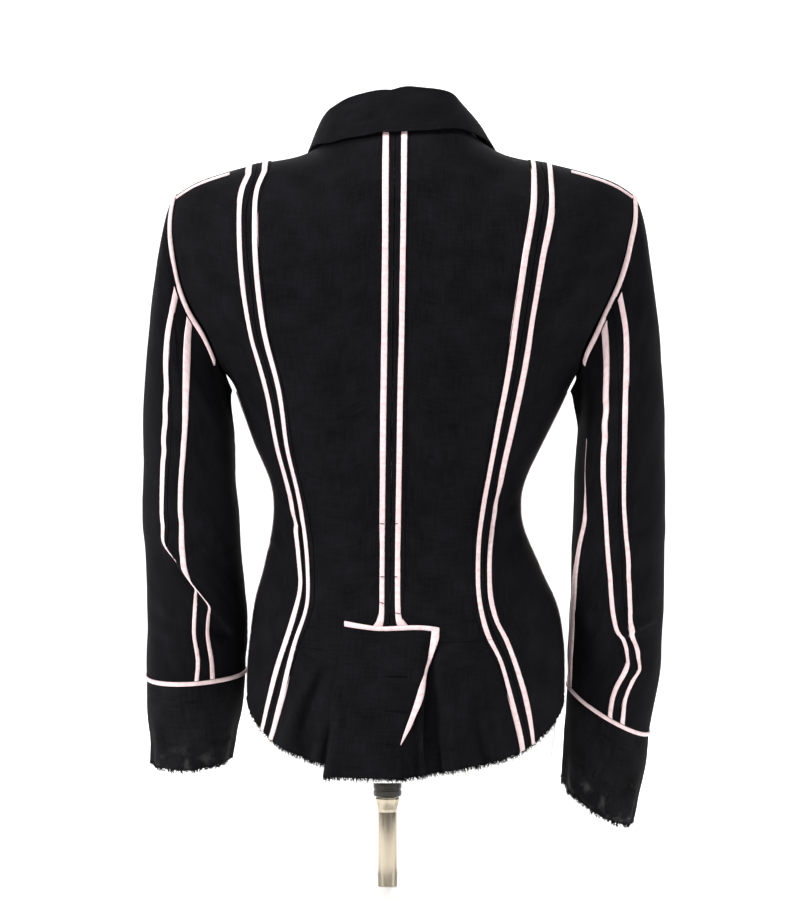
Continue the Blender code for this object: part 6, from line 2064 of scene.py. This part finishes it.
@dataclass
class Studio:
    """The plain white floor and backdrop, soft lights, and the camera at the photograph's angle."""

    distance: float = 3.5
    height: float = 0.394
    middle_x: float = 0.01125
    pixel: float = 0.9 * MM
    width: int = 800
    sensor: float = 36.0
    white: tuple[float, float, float, float] = (1.0, 1.0, 1.0, 1.0)
    sky: float = 0.16
    stage_glow: float = 0.74
    stage_half: float = 6.0
    stage_near: float = -7.0
    stage_deep: float = 14.0
    wall_high: float = 6.0
    bend_from: float = 0.62
    floor_to: float = 0.72
    # what the lamps point at, then each lamp's name, place, power and size
    target: tuple[float, float, float] = (0.0, 0.0, 0.4)
    lamps: tuple = (
        ("key", (-2.5, -1.3, 1.9), 105.0, 0.8), ("fill", (2.6, -0.8, 1.0), 30.0, 0.8),
        ("top", (0.0, -0.5, 2.8), 60.0, 1.0), ("rear", (0.0, 2.6, 1.8), 40.0, 2.0),
    )

    def build(self) -> None:
        """Adds the camera, the stage and the lights."""
        scene = bpy.context.scene
        camera = bpy.data.cameras.new("camera")
        camera.sensor_fit = "HORIZONTAL"
        camera.sensor_width = self.sensor
        camera.lens = self.distance / (self.width * self.pixel) * self.sensor
        view = bpy.data.objects.new("camera", camera)
        view.location = (self.middle_x, -self.distance, self.height)
        view.rotation_euler = (math.radians(90), 0, 0)
        scene.collection.objects.link(view)
        scene.camera = view
        scene.view_settings.view_transform = "Standard"
        self.backdrop()
        self.lights()

    def backdrop(self) -> None:
        """Adds a sheet of floor that curves up behind into a wall."""
        rows, columns = 48, 13
        along = np.linspace(0, 1, rows)[:, None]
        across = np.linspace(-self.stage_half, self.stage_half, columns)[None]
        y = self.stage_near + self.stage_deep * np.minimum(along, self.floor_to) / self.floor_to
        climb = np.clip(along - self.bend_from, 0, None)
        z = self.wall_high * climb / (1 - self.bend_from) * smooth_step(climb / 0.18)
        grid = np.stack([across + 0 * along, y + 0 * across, z + 0 * across], -1)
        white = Shader("studio_white")
        white.set(Base_Color=(0.90, 0.90, 0.90, 1.0), Roughness=0.9, Emission_Color=self.white,
                  Emission_Strength=self.stage_glow)
        mesh = bpy.data.meshes.new("backdrop")
        mesh.from_pydata(grid.reshape(-1, 3).tolist(), [], grid_faces(rows, columns, False)[:, ::-1].tolist())
        mesh.materials.append(white.material)
        mesh.shade_smooth()
        sheet = bpy.data.objects.new("backdrop", mesh)
        bpy.context.scene.collection.objects.link(sheet)

    def lights(self) -> None:
        """Adds a bright even sky and four large soft lamps."""
        world = bpy.data.worlds.new("studio")
        world.use_nodes = True
        sky = world.node_tree.nodes["Background"]
        sky.inputs["Color"].default_value = self.white
        sky.inputs["Strength"].default_value = self.sky
        bpy.context.scene.world = world
        for name, place, power, size in self.lamps:
            lamp = bpy.data.lights.new(name, "AREA")
            lamp.energy = power
            lamp.size = size
            item = bpy.data.objects.new(name, lamp)
            item.location = place
            aim = np.array(self.target) - np.array(place)
            item.rotation_euler = (math.acos(-aim[2] / np.linalg.norm(aim)), 0,
                                   math.atan2(aim[1], aim[0]) - math.pi / 2)
            bpy.context.scene.collection.objects.link(item)


# the two ends of each bar of stitching on the back, as x and z in millimetres
TACKS = ((-7.6, 335, -2.4, 334.6), (5.2, 334.8, 9.4, 335), (-6.2, 288.6, -2.2, 288), (5.6, 288, 9, 288.4),
         (-6.5, 266.5, -2.2, 264.5), (6.7, 257.2, 12.3, 256.4))
BUTTONHOLES = ((0.8, 202.6, 18.2, 202.2), (-2.6, 173, 18.2, 172.6), (-1.8, 144.6, 11.3, 144))


def main() -> None:
    """Builds the studio and every piece of the jacket and its form, in order."""
    logging.basicConfig(level=logging.INFO, format="%(name)s: %(message)s")
    Studio().build()
    finishes = Wardrobe()
    body = BodySurface(creases=creases_from(BODY_CREASES) + creases_from(FRONT_CREASES, Face.FRONT))
    cuts = CutList()
    bindings = Binding(body, finishes, cuts)
    cloth = BodyCloth(body, finishes, bindings, cuts)
    for side in SIDES:
        cloth.back(side)
        cloth.side_back(side)
        cloth.front(side)
    flap = VentFlap(body, finishes, bindings, cuts)
    flap.build()
    sleeves = [SleeveCloth(body, finishes, cuts, "left", 205.0, 31),
               SleeveCloth(body, finishes, cuts, "right", 190.0, 41)]
    threads = Threads(finishes)
    for sleeve in sleeves:
        sleeve.build()
        threads.stitch_rows(f"stitches_sleeve_{sleeve.side}", sleeve.bindings.stitches,
                            finishes.pink_thread, "satin_tape")
        threads.fray(f"fray_cuff_{sleeve.side}", [sleeve.edge], closed=True)
    collar = CollarCloth(body, finishes, cuts)
    collar.collar()
    for side in SIDES:
        collar.lapel(side)
    threads.stitch_rows("stitches_body", bindings.stitches, finishes.pink_thread, "satin_tape")
    threads.stitch_rows("stitches_collar", collar.stitches, finishes.black_thread, "linen")
    hems = [cloth.edges[name] for name in cloth.edges if not name.startswith("back")]
    threads.fray("fray_hem", [*hems, flap.foot])
    threads.bars("seam_tacks", body, TACKS, 1.8 * MM, 1.4 * MM)
    threads.bars("buttonholes", body, BUTTONHOLES, 3.8 * MM, 1.8 * MM)
    Buttons(body, finishes).build()
    form = DressForm(body, finishes)
    form.torso()
    form.stand()
    cuts.declare()


if __name__ == "__main__":
    main()
